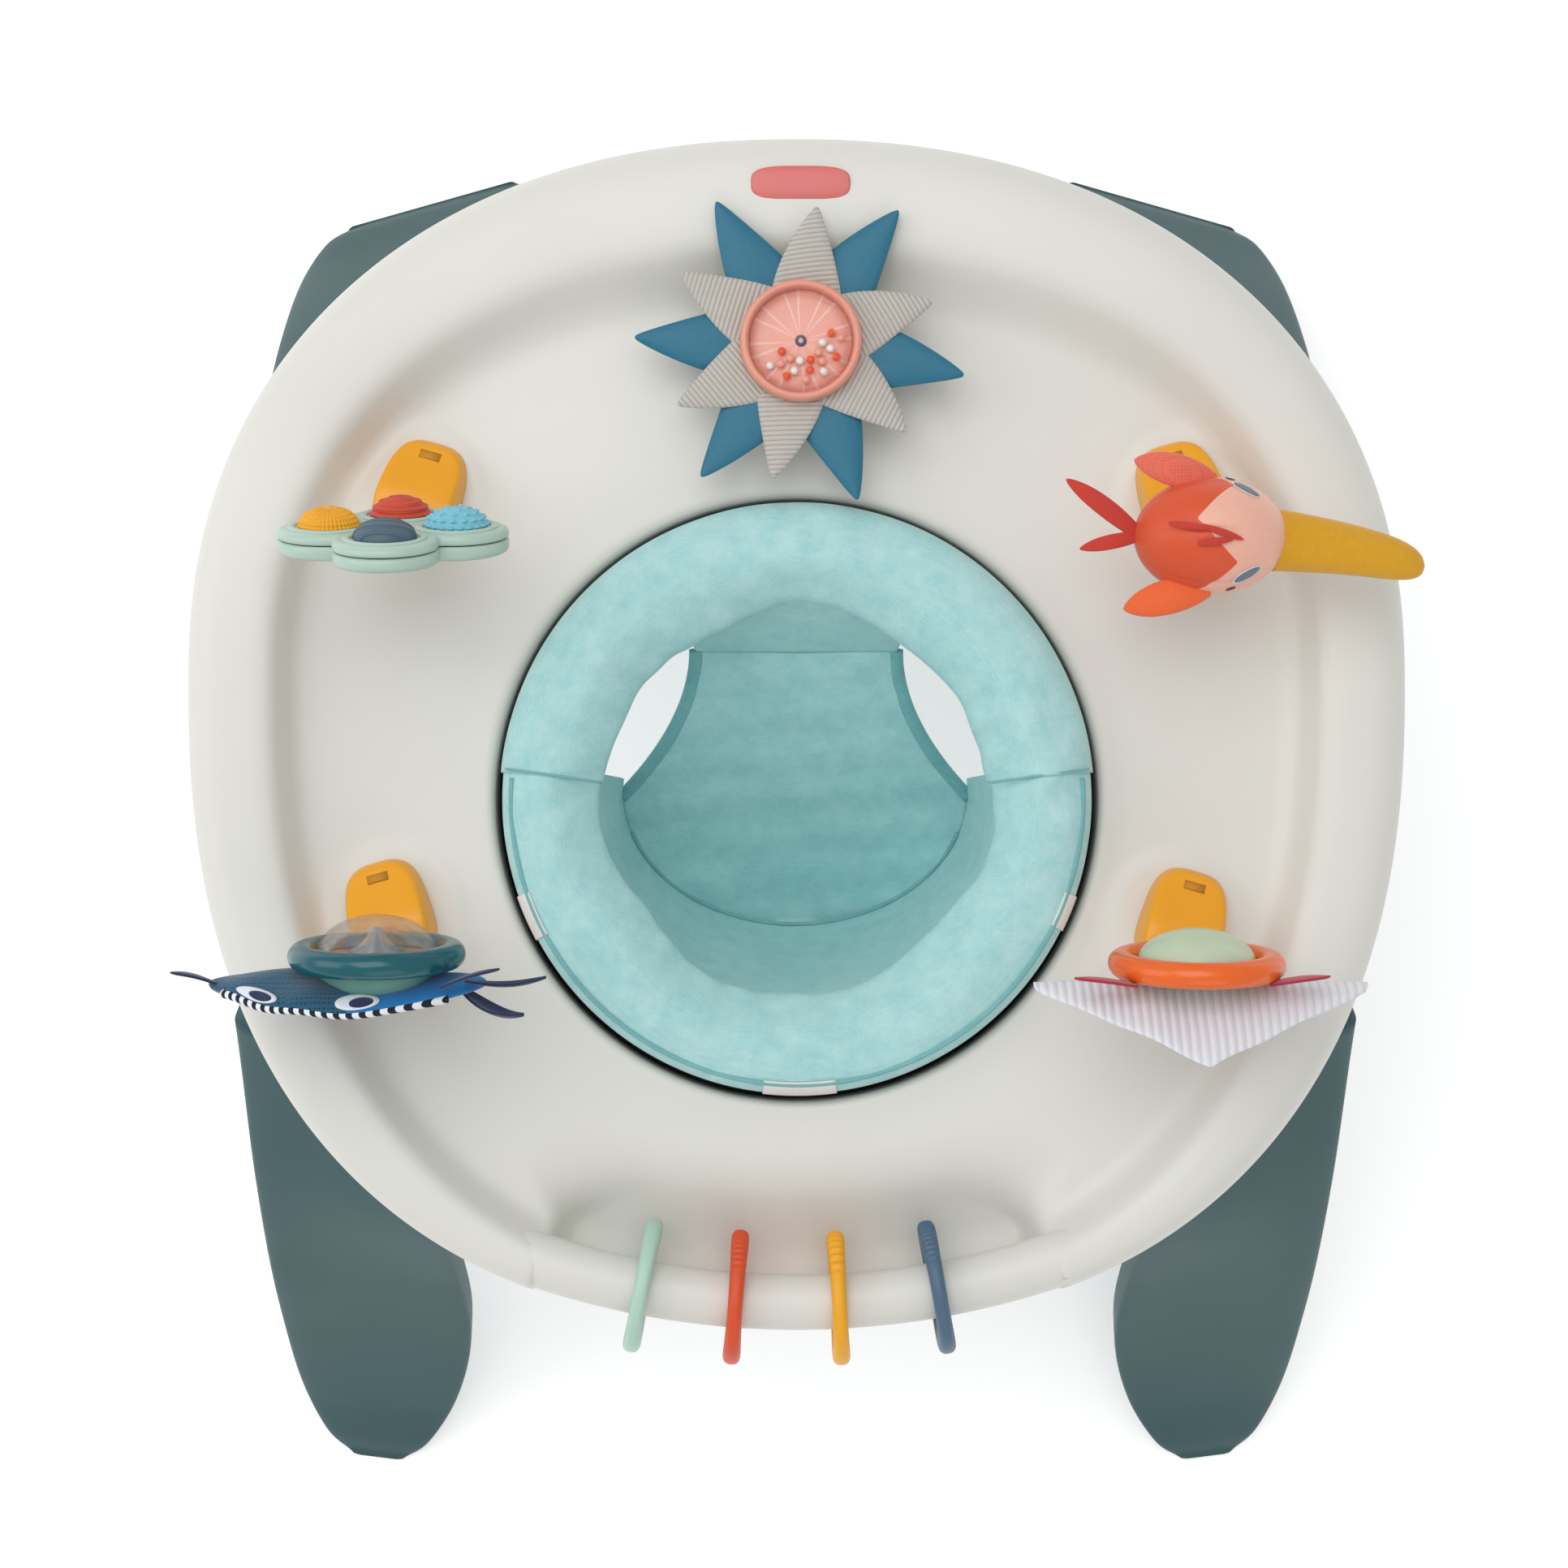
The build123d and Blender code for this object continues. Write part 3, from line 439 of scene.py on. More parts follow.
def tube(path, thick, sides=12, flat=1.0):
    """A round or flattened tube carried along a path: rings square to the path and level at their sides."""
    along = np.gradient(path, axis=0)
    along /= np.linalg.norm(along, axis=1, keepdims=True)
    side = np.cross(along, np.array([0.0, 0.0, 1.0]))
    side /= np.maximum(np.linalg.norm(side, axis=1, keepdims=True), 1e-6)
    lift = np.cross(side, along)
    spin = np.linspace(0, TURN, sides, endpoint=False)[None, :, None]
    return path[:, None] + thick * (np.cos(spin) * side[:, None] + flat * np.sin(spin) * lift[:, None])


lap = np.radians(np.linspace(176.0, 364.0, 240))
piping = np.stack([172.5 * np.cos(lap), 172.5 * np.sin(lap), 418.9 + 0 * lap], axis=-1)
grid_mesh("seat_piping", tube(piping, 1.5), binding, "seat", caps=(True, True))
for side in (-1, 1):
    across = np.linspace(0, 1, 40)
    radius = RING_OUT - 2 - across * (RING_OUT - RING_IN - 3)
    seam_y = 17.5 - 8.0 * across
    seam_z = 424.8 - 11.0 * np.abs(across - 0.36) ** 2.2 * 3.2
    seam = np.stack([side * np.sqrt(radius**2 - seam_y**2), seam_y, seam_z], axis=-1)
    grid_mesh(
            f"seat_lap_seam_{'left' if side < 0 else 'right'}",
            tube(seam, 0.8, 8),
            binding,
            "seat",
            caps=(True, True),
        )

# Four coil springs of oiled wire stand round the posts.
SPRING_R, WIRE_R, SPRING_TURNS, BOUNCE = 10.0, 1.6, 5, 35.0
(low_x, _, spring_foot), (high_x, _, spring_head) = (
    np.array(corner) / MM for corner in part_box("bounce_springs")
)
spring_at = (high_x - low_x) / 2 - SPRING_R - WIRE_R
wound = np.linspace(0, 1, 420)
wire_rise = smoothstep(wound, -0.12, 1.12)
wire_rise = (wire_rise - wire_rise[0]) / np.ptp(wire_rise)
climb = spring_foot + WIRE_R + (spring_head - spring_foot - 2 * WIRE_R) * wire_rise
for across_side in (-1, 1):
    for along_side in (-1, 1):
        coil = np.stack(
            [
                across_side * spring_at + SPRING_R * np.cos(TURN * SPRING_TURNS * wound),
                along_side * spring_at + SPRING_R * np.sin(TURN * SPRING_TURNS * wound),
                climb,
            ],
            axis=-1,
        )
        first = (across_side, along_side) == (-1, -1)
        word = f"{'rear' if along_side > 0 else 'front'}_{'left' if across_side < 0 else 'right'}"
        spring = grid_mesh(
            f"bounce_spring_{word}",
            tube(coil, WIRE_R, 12),
            spring_steel,
            "frame",
            ["bounce_springs"] if first else (),
            caps=(True, True),
        )
        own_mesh(spring)

# Two plain woven care tags, sewn in at the outer edge, with nothing printed on them.
tag_white = canvas("woven_tag_white", "#e8e6e2", "#dddbd6", "#ffffff", 0.8, 0.2)
for name, at_deg, half_deg in (("front", 270.5, 7.2), ("left", 204.0, 4.6), ("right", 337.0, 3.6)):
    sweep = np.radians(at_deg + np.linspace(-half_deg, half_deg, 24))[None, :]
    rows = np.array([(171.0, 420.6), (175.0, 418.0), (178.3, 413.6), (179.6, 407.5)])
    tag = np.stack(
        [rows[:, :1] * np.cos(sweep), rows[:, :1] * np.sin(sweep), rows[:, 1:] + 0 * sweep], axis=-1
    )
    grid_mesh(f"care_tag_{name}", tag, tag_white, "seat", wrap=False, wall=0.6)

# --- Seat sling -----------------------------------------------------------------------------------
# A hanging canvas bucket: an inclined seat panel with a leg hole each side of its narrow front, a curved back
# wall stitched to it, and bound edges where the legs pass.
PANEL_FRONT = (95.0, 350.0)
PANEL_BACK = (-80.0, 212.0)
PANEL_WIDE = 113.0
PANEL_NARROW = 63.0


def panel_height(depth, across=0.0):
    """The seat panel's plane, sagging a little along its middle."""
    lean = (PANEL_FRONT[1] - PANEL_BACK[1]) / (PANEL_FRONT[0] - PANEL_BACK[0])
    return PANEL_BACK[1] + (depth - PANEL_BACK[0]) * lean - 9.0 * (1 - across**2)


depth = np.linspace(PANEL_BACK[0] + 0.4, PANEL_FRONT[0], 90)[:, None]
span = np.linspace(-1, 1, 61)[None, :]
rear_half = PANEL_WIDE * np.sqrt(np.clip(1 - ((depth - 5) / 85.4) ** 2, 0, 1))
front_half = PANEL_NARROW + (PANEL_WIDE - PANEL_NARROW) * (1 - np.clip((depth - 5) / 90, 0, 1)) ** 1.9
half = np.where(depth < 5, rear_half, front_half)
wrinkle = 0.9 * np.sin(depth / 9 + 3 * span) * np.cos(4 * span) + 0.5 * np.sin(depth / 4.1 - 2 * span)
panel = np.stack([half * span, depth + 0 * span, panel_height(depth, span) + wrinkle], axis=-1)
lap = np.radians(np.linspace(172.0, 368.0, 150))[None, :]
drop = np.linspace(0, 1, 48)[:, None]
upper = np.stack([127.0 * np.cos(lap), 127.0 * np.sin(lap), 401.0 + 0 * lap], axis=-1)
lower_y = 5 + 85.0 * np.sin(lap)
lower = np.stack([PANEL_WIDE * np.cos(lap), lower_y, panel_height(lower_y, 1.0)], axis=-1)
bulge = np.sin(np.pi * drop) * (6 + 1.6 * np.sin(11 * lap) + 1.2 * np.sin(6 * lap + 5 * drop))
wall = upper * (1 - drop[..., None]) + lower * drop[..., None]
wall = wall + bulge[..., None] * np.stack([np.cos(lap), np.sin(lap), 0 * lap], axis=-1)


# Panel, back wall, front apron and hoop sleeve wear the darker aqua copy: painted shade on the inside of the seat.
seat_panel = grid_mesh("seat_panel", panel, aqua_shaded_copy, "seat", ["seat_sling"], wrap=False, wall=2.4)
back_wall = grid_mesh("seat_back_wall", wall, aqua_shaded_copy, "seat", wrap=False, wall=2.4)
lap = np.radians(np.linspace(57.0, 123.0, 50))[None, :]
drop = np.linspace(0, 1, 24)[:, None]
upper = np.stack([126.0 * np.cos(lap), 125.0 * np.sin(lap), 402.0 + 0 * lap], axis=-1)
lower = np.stack(
    [
        PANEL_NARROW * np.cos(lap) / np.cos(np.radians(57)),
        95.0 + 0 * lap,
        350.0 - 9 * np.sin((lap - lap.min()) * 2.7),
    ],
    axis=-1,
)
apron = upper * (1 - drop[..., None]) + lower * drop[..., None]
front_apron = grid_mesh("seat_front_apron", apron, aqua_shaded_copy, "seat", wrap=False, wall=2.4)
for side in (-1, 1):
    word = "left" if side < 0 else "right"
    run = np.linspace(0, 1, 60)
    hem_y = 5 + 90 * run
    hem_x = side * (PANEL_NARROW + (PANEL_WIDE - PANEL_NARROW) * (1 - run) ** 1.9)
    hem = np.stack([hem_x, hem_y, panel_height(hem_y, 1.0)], axis=-1)
    grid_mesh(f"leg_hole_binding_{word}", tube(hem, 4.2, 12, 0.45), binding, "seat", caps=(True, True))
lap = np.linspace(0, TURN, 160, endpoint=False)[None, :]
drop = np.linspace(0, 1, 12)[:, None]
sleeve = np.stack(
    [
        (166.6 - 1.0 * np.sin(np.pi * drop)) * np.cos(lap),
        (166.6 - 1.0 * np.sin(np.pi * drop)) * np.sin(lap),
        398.0 - 56.0 * drop + 0 * lap,
    ],
    axis=-1,
)
hoop_sleeve = grid_mesh("hoop_sleeve", sleeve, aqua_shaded_copy, "seat", wall=1.4)
back_seam_y = 5 + 83.5 * np.sin(np.radians(np.linspace(196, 344, 90)))
back_seam = np.stack(
    [
        (PANEL_WIDE - 2) * np.cos(np.radians(np.linspace(196, 344, 90))),
        back_seam_y,
        panel_height(back_seam_y, 1.0) + 1,
    ],
    axis=-1,
)
grid_mesh("seat_back_seam", tube(back_seam, 1.4, 8), binding, "seat", caps=(True, True))

# --- Legs -----------------------------------------------------------------------------------------
# Four splayed blades blow-moulded in deep teal, flat-faced with generous rounded edges, each with a tang that
# slides in its sleeve. Rubber pads close their feet and a round height button sits in the outward face.
LEG_SECTIONS = {
    "front": [
        (3, (-326, -472), (-286, -477), 20),
        (14, (-343, -455), (-266, -464), 27),
        (40, (-355, -423), (-244, -431), 32),
        (100, (-361, -366), (-228, -372), 34),
        (150, (-362, -322), (-231, -333), 34),
        (230, (-361, -247), (-240, -282), 34),
        (335, (-356, -140), (-242, -184), 32),
    ],
    "rear": [
        (3, (-335, 440), (-206, 477), 20),
        (14, (-350, 428), (-190, 472), 27),
        (40, (-361, 402), (-180, 452), 32),
        (100, (-366, 352), (-178, 400), 34),
        (150, (-366, 310), (-182, 356), 34),
        (230, (-362, 240), (-200, 284), 34),
        (335, (-356, 140), (-225, 184), 32),
    ],
}
teal = moulded("pp_deep_teal", "#2f5659", "#2b5154", 0.46, 0.9, 0.22)


def through(values, levels):
    """Smooth curve through the section values, cubic Hermite over the root of the height so feet end round."""
    known = np.sqrt(np.array([row[0] for row in values], dtype=float) - 2.9)
    levels = np.sqrt(levels - 2.9)
    data = np.array([row[1] for row in values], dtype=float)
    slope = np.gradient(data, known, axis=0)
    seat = np.clip(np.searchsorted(known, levels, side="right") - 1, 0, len(known) - 2)
    width = known[seat + 1] - known[seat]
    t = ((levels - known[seat]) / width)[:, None]
    h = width[:, None]
    return (
        (2 * t**3 - 3 * t**2 + 1) * data[seat]
        + (t**3 - 2 * t**2 + t) * h * slope[seat]
        + (3 * t**2 - 2 * t**3) * data[seat + 1]
        + (t**3 - t**2) * h * slope[seat + 1]
    )


def leg_blade(sections, side):
    """Level sections of a blade: a rounded oblong mapped between its outer and inner corner and its thickness."""
    values = [(z, (*outer, *inner, thick)) for z, outer, inner, thick in sections]
    levels = np.concatenate(
        [2.9 + np.linspace(0.32, 4.9, 34) ** 2, np.linspace(28, 329, 84), [333.0, 335.0]]
    )
    shape = through(values, levels)
    outer, inner, thick = shape[:, None, :2], shape[:, None, 2:4], shape[:, None, 4:5]
    across = inner - outer
    long = np.linalg.norm(across, axis=-1, keepdims=True)
    end = np.sign(outer[..., 1:2])
    back = np.concatenate([-across[..., 1:2], across[..., :1]], axis=-1) / long * thick
    back = back * np.where(back[..., 1:2] * end > 0, -1, 1)
    spin = np.linspace(0, TURN, 96, endpoint=False)
    u = np.sign(np.cos(spin)) * np.abs(np.cos(spin)) ** 0.3
    v = np.sign(np.sin(spin)) * np.abs(np.sin(spin)) ** 0.3
    flat = outer + across * (0.5 + 0.5 * u[None, :, None]) + back * (0.5 + 0.5 * v[None, :, None])
    middle = outer + across * 0.5 + back * 0.5
    tuck = np.ones(len(levels))
    tuck[-1] = 0.93
    flat = middle + (flat - middle) * tuck[:, None, None]
    flat[..., 0] *= -side
    return np.concatenate([flat, np.repeat(levels[:, None, None], 96, axis=1)], axis=-1)


TANG_AT = (284.0, 148.0, 335.0)
RISE, RUN = 0.735, 0.678
rubber = moulded("moulded_foot_rubber", "#26292b", "#1f2224", 0.75, 0.8, 0.4)
button_white = moulded("abs_button_white", "#dfe0db", "#d8d9d3", 0.35)
for place, sections in LEG_SECTIONS.items():
    for side, word in ((-1, "left"), (1, "right")):
        corner = f"{place}_{word}"
        end = -1 if place == "front" else 1
        body = f"leg_{corner}"
        grid_mesh(
                f"{corner}_leg_blade", leg_blade(sections, side), teal, body, [body], caps=(True, True)
            )
        spin = np.linspace(0, TURN, 48, endpoint=False)
        wide = 28.0 * np.sign(np.cos(spin)) * np.abs(np.cos(spin)) ** 0.2
        deep = 7.0 * np.sign(np.sin(spin)) * np.abs(np.sin(spin)) ** 0.35
        run = np.array([-16.0, 0, 40, 71, 73])[:, None]
        taper = np.array([1, 1, 1, 1, 0.93])[:, None]
        tang = np.stack(
            [
                side * TANG_AT[0] + taper * wide,
                end * TANG_AT[1] - end * RUN * run + end * RISE * taper * deep,
                TANG_AT[2] + RISE * run + RUN * taper * deep,
            ],
            axis=-1,
        )
        grid_mesh(f"{corner}_leg_tang", tang, teal, body, caps=(True, True))
        dress(f"foot_pad_{corner}", rubber)
        dress(f"height_button_{corner}", button_white, 1.2)

# --- Toy pods and stems ---------------------------------------------------------------------------
# Four wedge-shaped sockets snapped into the dish, in amber ABS with a latch slot at the low end, drawn as a
# darker amber patch of painted shade; a salmon stem stands in each and lets its toy turn.
amber = moulded("abs_amber", "#f2a91c", "#eda115", 0.36, 0.8, 0.1)
painted_slot_shade = moulded("amber_slot_painted_shade", "#c98708", "#c28005", 0.5)
salmon = moulded("abs_salmon", "#e58a74", "#df826c", 0.38)
POD_TOP = (14.0, 34.0)
POD_HALF = (31.0, 27.0)
TOY_LEAN = {"popper": 17.6, "fish": 7.7, "ray": 7.7, "bird": 18.0}
POD_TURN = {"popper": -16.0, "fish": 16.0, "ray": -16.0, "bird": 16.0}
STEM_TOP = {"popper": -66.8, "fish": -46.5, "ray": -46.5, "bird": -31.0}


def box_middle(node):
    """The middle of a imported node's box, in millimetres."""
    lowest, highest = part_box(node)
    return (np.array(lowest) + np.array(highest)) / 2 / MM


TOY_AT = {
    "popper": np.array([-232.6, 147.0, 508.0]),
    "fish": box_middle("fish_ring"),
    "ray": box_middle("ray_ring"),
    "bird": np.array([238.0, 149.0, 498.0]),
}


def toy_space(toy, across, up, ahead):
    """Places toy points: across is world X, up runs up the leaning stem, ahead looks to +Y along the face."""
    lean = np.radians(TOY_LEAN[toy])
    across, up, ahead = np.broadcast_arrays(across, up, ahead)
    x, y, z = TOY_AT[toy]
    return np.stack(
        [
            x + across,
            y - np.sin(lean) * up + np.cos(lean) * ahead,
            z + np.cos(lean) * up + np.sin(lean) * ahead,
        ],
        axis=-1,
    )


for toy in TOY_LEAN:
    lean, heading = np.radians(TOY_LEAN[toy]), np.radians(POD_TURN[toy])
    x, y, z = TOY_AT[toy]
    along = np.array([np.sin(heading), -np.cos(heading)])
    base = np.array([x, y + (z - DISH_Z - POD_TOP[1] + 4) * np.tan(lean)]) - along * 16.0
    spin = np.linspace(0, TURN, 96, endpoint=False)[None, :]
    run = np.sign(np.cos(spin)) * np.abs(np.cos(spin)) ** 0.62
    wide = np.sign(np.sin(spin)) * np.abs(np.sin(spin)) ** 0.62
    rows = np.array(
        [
            (1.0, 0.0),
            (1.0, 0.25),
            (0.975, 0.55),
            (0.94, 0.82),
            (0.91, 0.93),
            (0.87, 0.985),
            (0.8, 1.0),
            (0.6, 1.0),
            (0.3, 1.0),
        ]
    )
    scale, rise = rows[:, :1], rows[:, 1:]
    px = run * POD_HALF[0] * scale
    py = wide * (POD_HALF[1] - 4.0 * (1 - run) / 2) * scale
    top = POD_TOP[0] + (POD_TOP[1] - POD_TOP[0]) * smoothstep(px, -31, 12)
    pod = np.stack(
        [
            base[0] + along[0] * px - along[1] * py,
            base[1] + along[1] * px + along[0] * py,
            DISH_Z + 0.3 + rise * top,
        ],
        axis=-1,
    )
    shown = grid_mesh(f"{toy}_pod", pod, amber, "frame", caps=(True, True))
    # The latch slot is a flat darker amber patch standing just proud of the pod's top: painted shade for the
    # slot's depth.
    corners = np.array([(-24.0, -6.5), (-24.0, 6.5), (-18.5, 6.5), (-18.5, -6.5)])
    level = POD_TOP[0] + (POD_TOP[1] - POD_TOP[0]) * smoothstep(corners[:, 0], -31, 12)
    slot_rows = [
        np.stack(
            [
                base[0] + along[0] * corners[:, 0] - along[1] * corners[:, 1],
                base[1] + along[1] * corners[:, 0] + along[0] * corners[:, 1],
                DISH_Z + 0.3 + level * lift,
            ],
            axis=-1,
        )
        for lift in (0.7, 1.012)
    ]
    latch = grid_mesh(f"{toy}_pod_latch", np.array(slot_rows), painted_slot_shade, "frame", caps=(True, True))
    foot = -(z - 406.5) / np.cos(lean)
    ups = np.array([foot, foot + 2, STEM_TOP[toy] - 3, STEM_TOP[toy]])[:, None]
    girth = np.array([7.2, 8.0, 8.0, 7.4])[:, None]
    spin = np.linspace(0, TURN, 40, endpoint=False)[None, :]
    stem = toy_space(toy, girth * np.cos(spin), ups, girth * np.sin(spin))
    grid_mesh(f"{toy}_stem", stem, salmon, toy, [f"stem_{toy}"], caps=(True, True))
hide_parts("toy_pods")

# --- Popper toy -----------------------------------------------------------------------------------
# A two-part sage green case with four round lobes, and a soft silicone button in each: ribbed yellow, nubbed
# blue, ringed red, and slate with concentric arches.
LOBE_SHIFT = 36.6
LOBE_R = 29.8
LOBES = {
    "yellow": (-LOBE_SHIFT, 0.0),
    "blue": (LOBE_SHIFT, 0.0),
    "red": (0.0, -LOBE_SHIFT),
    "slate": (0.0, LOBE_SHIFT),
}
sage = moulded("abs_sage_green", "#b2cabd", "#abc3b6", 0.34, 0.8, 0.08)
silicone = {
    "yellow": moulded("silicone_yellow", "#f0ae22", "#e9a51b", 0.5, 0.6, 0.2),
    "blue": moulded("silicone_blue", "#7cc4d6", "#74bccf", 0.5, 0.6, 0.2),
    "red": moulded("silicone_red", "#cf4a32", "#c7442d", 0.5, 0.6, 0.2),
    "slate": moulded("silicone_slate", "#4d6574", "#475e6d", 0.5, 0.6, 0.2),
}
spin = np.linspace(0, TURN, 360, endpoint=False)
reach = np.zeros_like(spin)
for cx, cy in LOBES.values():
    along = cx * np.cos(spin) + cy * np.sin(spin)
    inside_root = LOBE_R**2 - (cx * np.sin(spin) - cy * np.cos(spin)) ** 2
    reach = np.maximum(reach, np.where(inside_root > 0, along + np.sqrt(np.clip(inside_root, 0, None)), 0))
soft = np.fft.irfft(np.fft.rfft(reach) * np.exp(-((np.arange(181) / 34.0) ** 2)), 360)
for name, rows in (
    (
        "front",
        [
            (0.945, 0.4),
            (0.985, 0.4),
            (1.0, 1.4),
            (1.0, 3.2),
            (0.985, 4.9),
            (0.955, 5.9),
            (0.9, 6.2),
            (0.6, 6.0),
            (0.2, 6.0),
        ],
    ),
    (
        "back",
        [
            (0.945, -0.4),
            (0.985, -0.4),
            (1.0, -1.4),
            (1.0, -5.2),
            (0.985, -7.4),
            (0.95, -8.6),
            (0.88, -9.0),
            (0.5, -9.0),
            (0.2, -9.0),
        ],
    ),
):
    rows = np.array(rows)
    rim = rows[:, :1] * soft
    half = toy_space("popper", rim * np.cos(spin), rim * np.sin(spin), rows[:, 1:])
    grid_mesh(f"popper_case_{name}", half, sage, "popper", [f"popper_{name}"], caps=(True, True))


def dome_relief(name, polar, spin):
    """Height of a button's moulded pattern over its dome, from the angle off its top and the angle round it."""
    if name == "yellow":
        return 0.45 * np.sign(
            np.sin(44 * spin)
        ) * np.abs(np.sin(44 * spin)) ** 0.5 * smoothstep(polar, 0.12, 0.3) + 0.25 * np.sin(26 * polar)
    if name == "red":
        return 0.75 * np.cos(17 * polar) ** 3
    if name == "slate":
        off = np.hypot(np.sin(polar) * np.cos(spin), np.sin(polar) * np.sin(spin) + 0.75)
        return 0.8 * smoothstep(np.cos(20 * off), -0.1, 0.5)
    belts = np.round(polar / 0.36)
    count = np.maximum(1, np.round(belts * 5.2))
    along = (spin * count / TURN + 0.5 * (belts % 2)) % 1.0 - 0.5
    away = np.hypot(polar - belts * 0.36, along / count * TURN * np.sin(np.maximum(polar, 0.05)))
    return 2.0 * (1 - smoothstep(away, 0.03, 0.13))


SEAT_LIP = np.linspace(0, TURN, 24, endpoint=False)[None, :]
for name, (cx, cy) in LOBES.items():
    polar = np.linspace(0.012, np.pi / 2, 110)[:, None]
    spin = np.linspace(0, TURN, 220, endpoint=False)[None, :]
    radius = 17.4 + dome_relief(name, polar, spin)
    flat, rise = radius * np.sin(polar), radius * np.cos(polar) * 0.62
    dome = toy_space("popper", cx + flat * np.cos(spin), cy + flat * np.sin(spin), 6.6 + rise)
    skirt_rows = toy_space(
        "popper", cx + 17.2 * np.cos(spin), cy + 17.2 * np.sin(spin), np.array([[5.2]]) + 0 * spin
    )
    button = grid_mesh(
        f"popper_button_{name}",
        np.vstack([dome, skirt_rows]),
        silicone[name],
        f"dome_{name}",
        [f"popper_dome_{name}"],
        caps=(True, True),
    )
    loop = np.linspace(0, TURN, 96, endpoint=False)[:, None]
    lip = toy_space(
        "popper",
        cx + (21.6 + 2.3 * np.cos(SEAT_LIP)) * np.cos(loop),
        cy + (21.6 + 2.3 * np.cos(SEAT_LIP)) * np.sin(loop),
        6.3 + 1.3 * np.sin(SEAT_LIP),
    )
    grid_mesh(f"popper_lip_{name}", np.vstack([lip, lip[:1]]), sage, "popper")

# --- Window toys ----------------------------------------------------------------------------------
# Fish and ray share a moulded ring on a stem with a domed window. The fish's ring is deep teal round a clear
# dome with a grey spinner; the ray's is orange round a pale green dome.


def clear_plastic(name, tint, roughness=0.04, transmission=1.0, alpha=1.0):
    """Polished polycarbonate: clear, glossy, and lightly tinted."""
    made, tree, shader, where = new_material(name)
    haze = add_node(tree, "ShaderNodeTexNoise", {"Vector": where, "Scale": 120.0, "Detail": 2.0})
    smear = add_node(
        tree,
        "ShaderNodeMapRange",
        {"Value": haze.outputs["Fac"], "To Min": roughness, "To Max": roughness + 0.05},
    )
    tree.links.new(smear.outputs["Result"], shader.inputs["Roughness"])
    shader.inputs["Base Color"].default_value = linear(tint)
    shader.inputs["Transmission Weight"].default_value = transmission
    shader.inputs["IOR"].default_value = 1.2
    shader.inputs["Alpha"].default_value = alpha
    return made


ring_teal = moulded("abs_deep_teal", "#0f5a66", "#0d535f", 0.2, 0.9, 0.04)
ring_orange = moulded("abs_orange", "#ee6a22", "#e8641d", 0.22, 0.9, 0.04)
clear_dome = clear_plastic("clear_polycarbonate", "#ffffff", alpha=0.28)
mint_dome = clear_plastic("mint_polycarbonate", "#9ad3c6", 0.12, 0.5, 0.9)
pale_green = moulded("abs_pale_green", "#c3d3b8", "#bccdb1", 0.25)
spinner_grey = moulded("abs_spinner_grey", "#8f9498", "#868b8f", 0.3, 0.8, 0.1, Metallic=0.2)


def window_ring(toy, material):
    """A torus of slightly flattened section for a window toy's ring."""
    loop = np.linspace(0, TURN, 140, endpoint=False)[:, None]
    roll = np.linspace(0, TURN, 40, endpoint=False)[None, :]
    radius = 43.0 + 8.0 * np.sign(np.cos(roll)) * np.abs(np.cos(roll)) ** 0.9
    ring = toy_space(toy, radius * np.cos(loop), radius * np.sin(loop), 7.6 * np.sin(roll))
    grid_mesh(f"{toy}_window_ring", np.vstack([ring, ring[:1]]), material, toy, [f"{toy}_ring"])


def window_cap(name, toy, body, high, start, material, replaced, wall=1.4):
    """A shallow domed window: a circle's arc of revolution, closed at its pole."""
    polar = np.linspace(0.01, 1, 40)[:, None]
    spin = np.linspace(0, TURN, 96, endpoint=False)[None, :]
    rise = high * np.sqrt(1 - polar**2)
    cap = toy_space(
        toy, 34.2 * polar * np.cos(spin), 34.2 * polar * np.sin(spin), start + np.sign(high) * np.abs(rise)
    )
    made = grid_mesh(name, cap, material, body, replaced, caps=(True, wall == 0), wall=wall)
    return made


window_ring("fish", ring_teal)
window_ring("ray", ring_orange)
window_cap("fish_clear_dome", "fish", "fish", 22.0, 0.6, clear_dome, ["fish_dome"])
window_cap("fish_back_dome", "fish", "fish", -31.0, -2.6, mint_dome, ["fish_back"])
window_cap("ray_green_dome", "ray", "ray", 20.0, 0.6, pale_green, ["ray_dome"], 0)
disc = np.array([0.03, 0.5, 0.97, 1.0])[:, None]
spin = np.linspace(0, TURN, 72, endpoint=False)[None, :]
dial_plate = toy_space(
    "fish", 34.0 * disc * np.cos(spin), 34.0 * disc * np.sin(spin), np.array([0.0, 0.0, 0.0, -1.6])[:, None]
)
grid_mesh(
        "fish_window_plate",
        dial_plate,
        moulded("abs_dial_peach", "#e8a070", "#e0976a", 0.4),
        "fish",
        caps=(True, True),
    )
rows = np.array(
    [(0.2, 16.2), (2.2, 16.0), (3.6, 14.6), (5.0, 11.0), (9.0, 6.0), (14.6, 2.6), (14.9, 1.6), (13.0, 1.2)]
)
fin = 1 + 0.10 * np.cos(8 * spin) * (rows[:, :1] > 4)
spinner = toy_space("fish", rows[:, :1] * fin * np.cos(spin), rows[:, :1] * fin * np.sin(spin), rows[:, 1:])
grid_mesh(
        "fish_spinner_cone", spinner, spinner_grey, "fish_spinner", ["fish_spinner"], caps=(True, True)
    )

# --- Fish cloth -----------------------------------------------------------------------------------
# The fish is a thin plush pad behind the ring: dark spacer mesh over the head, bright blue jersey over the tail,
# a striped edge underneath, a felt eye on each side and navy felt fins.


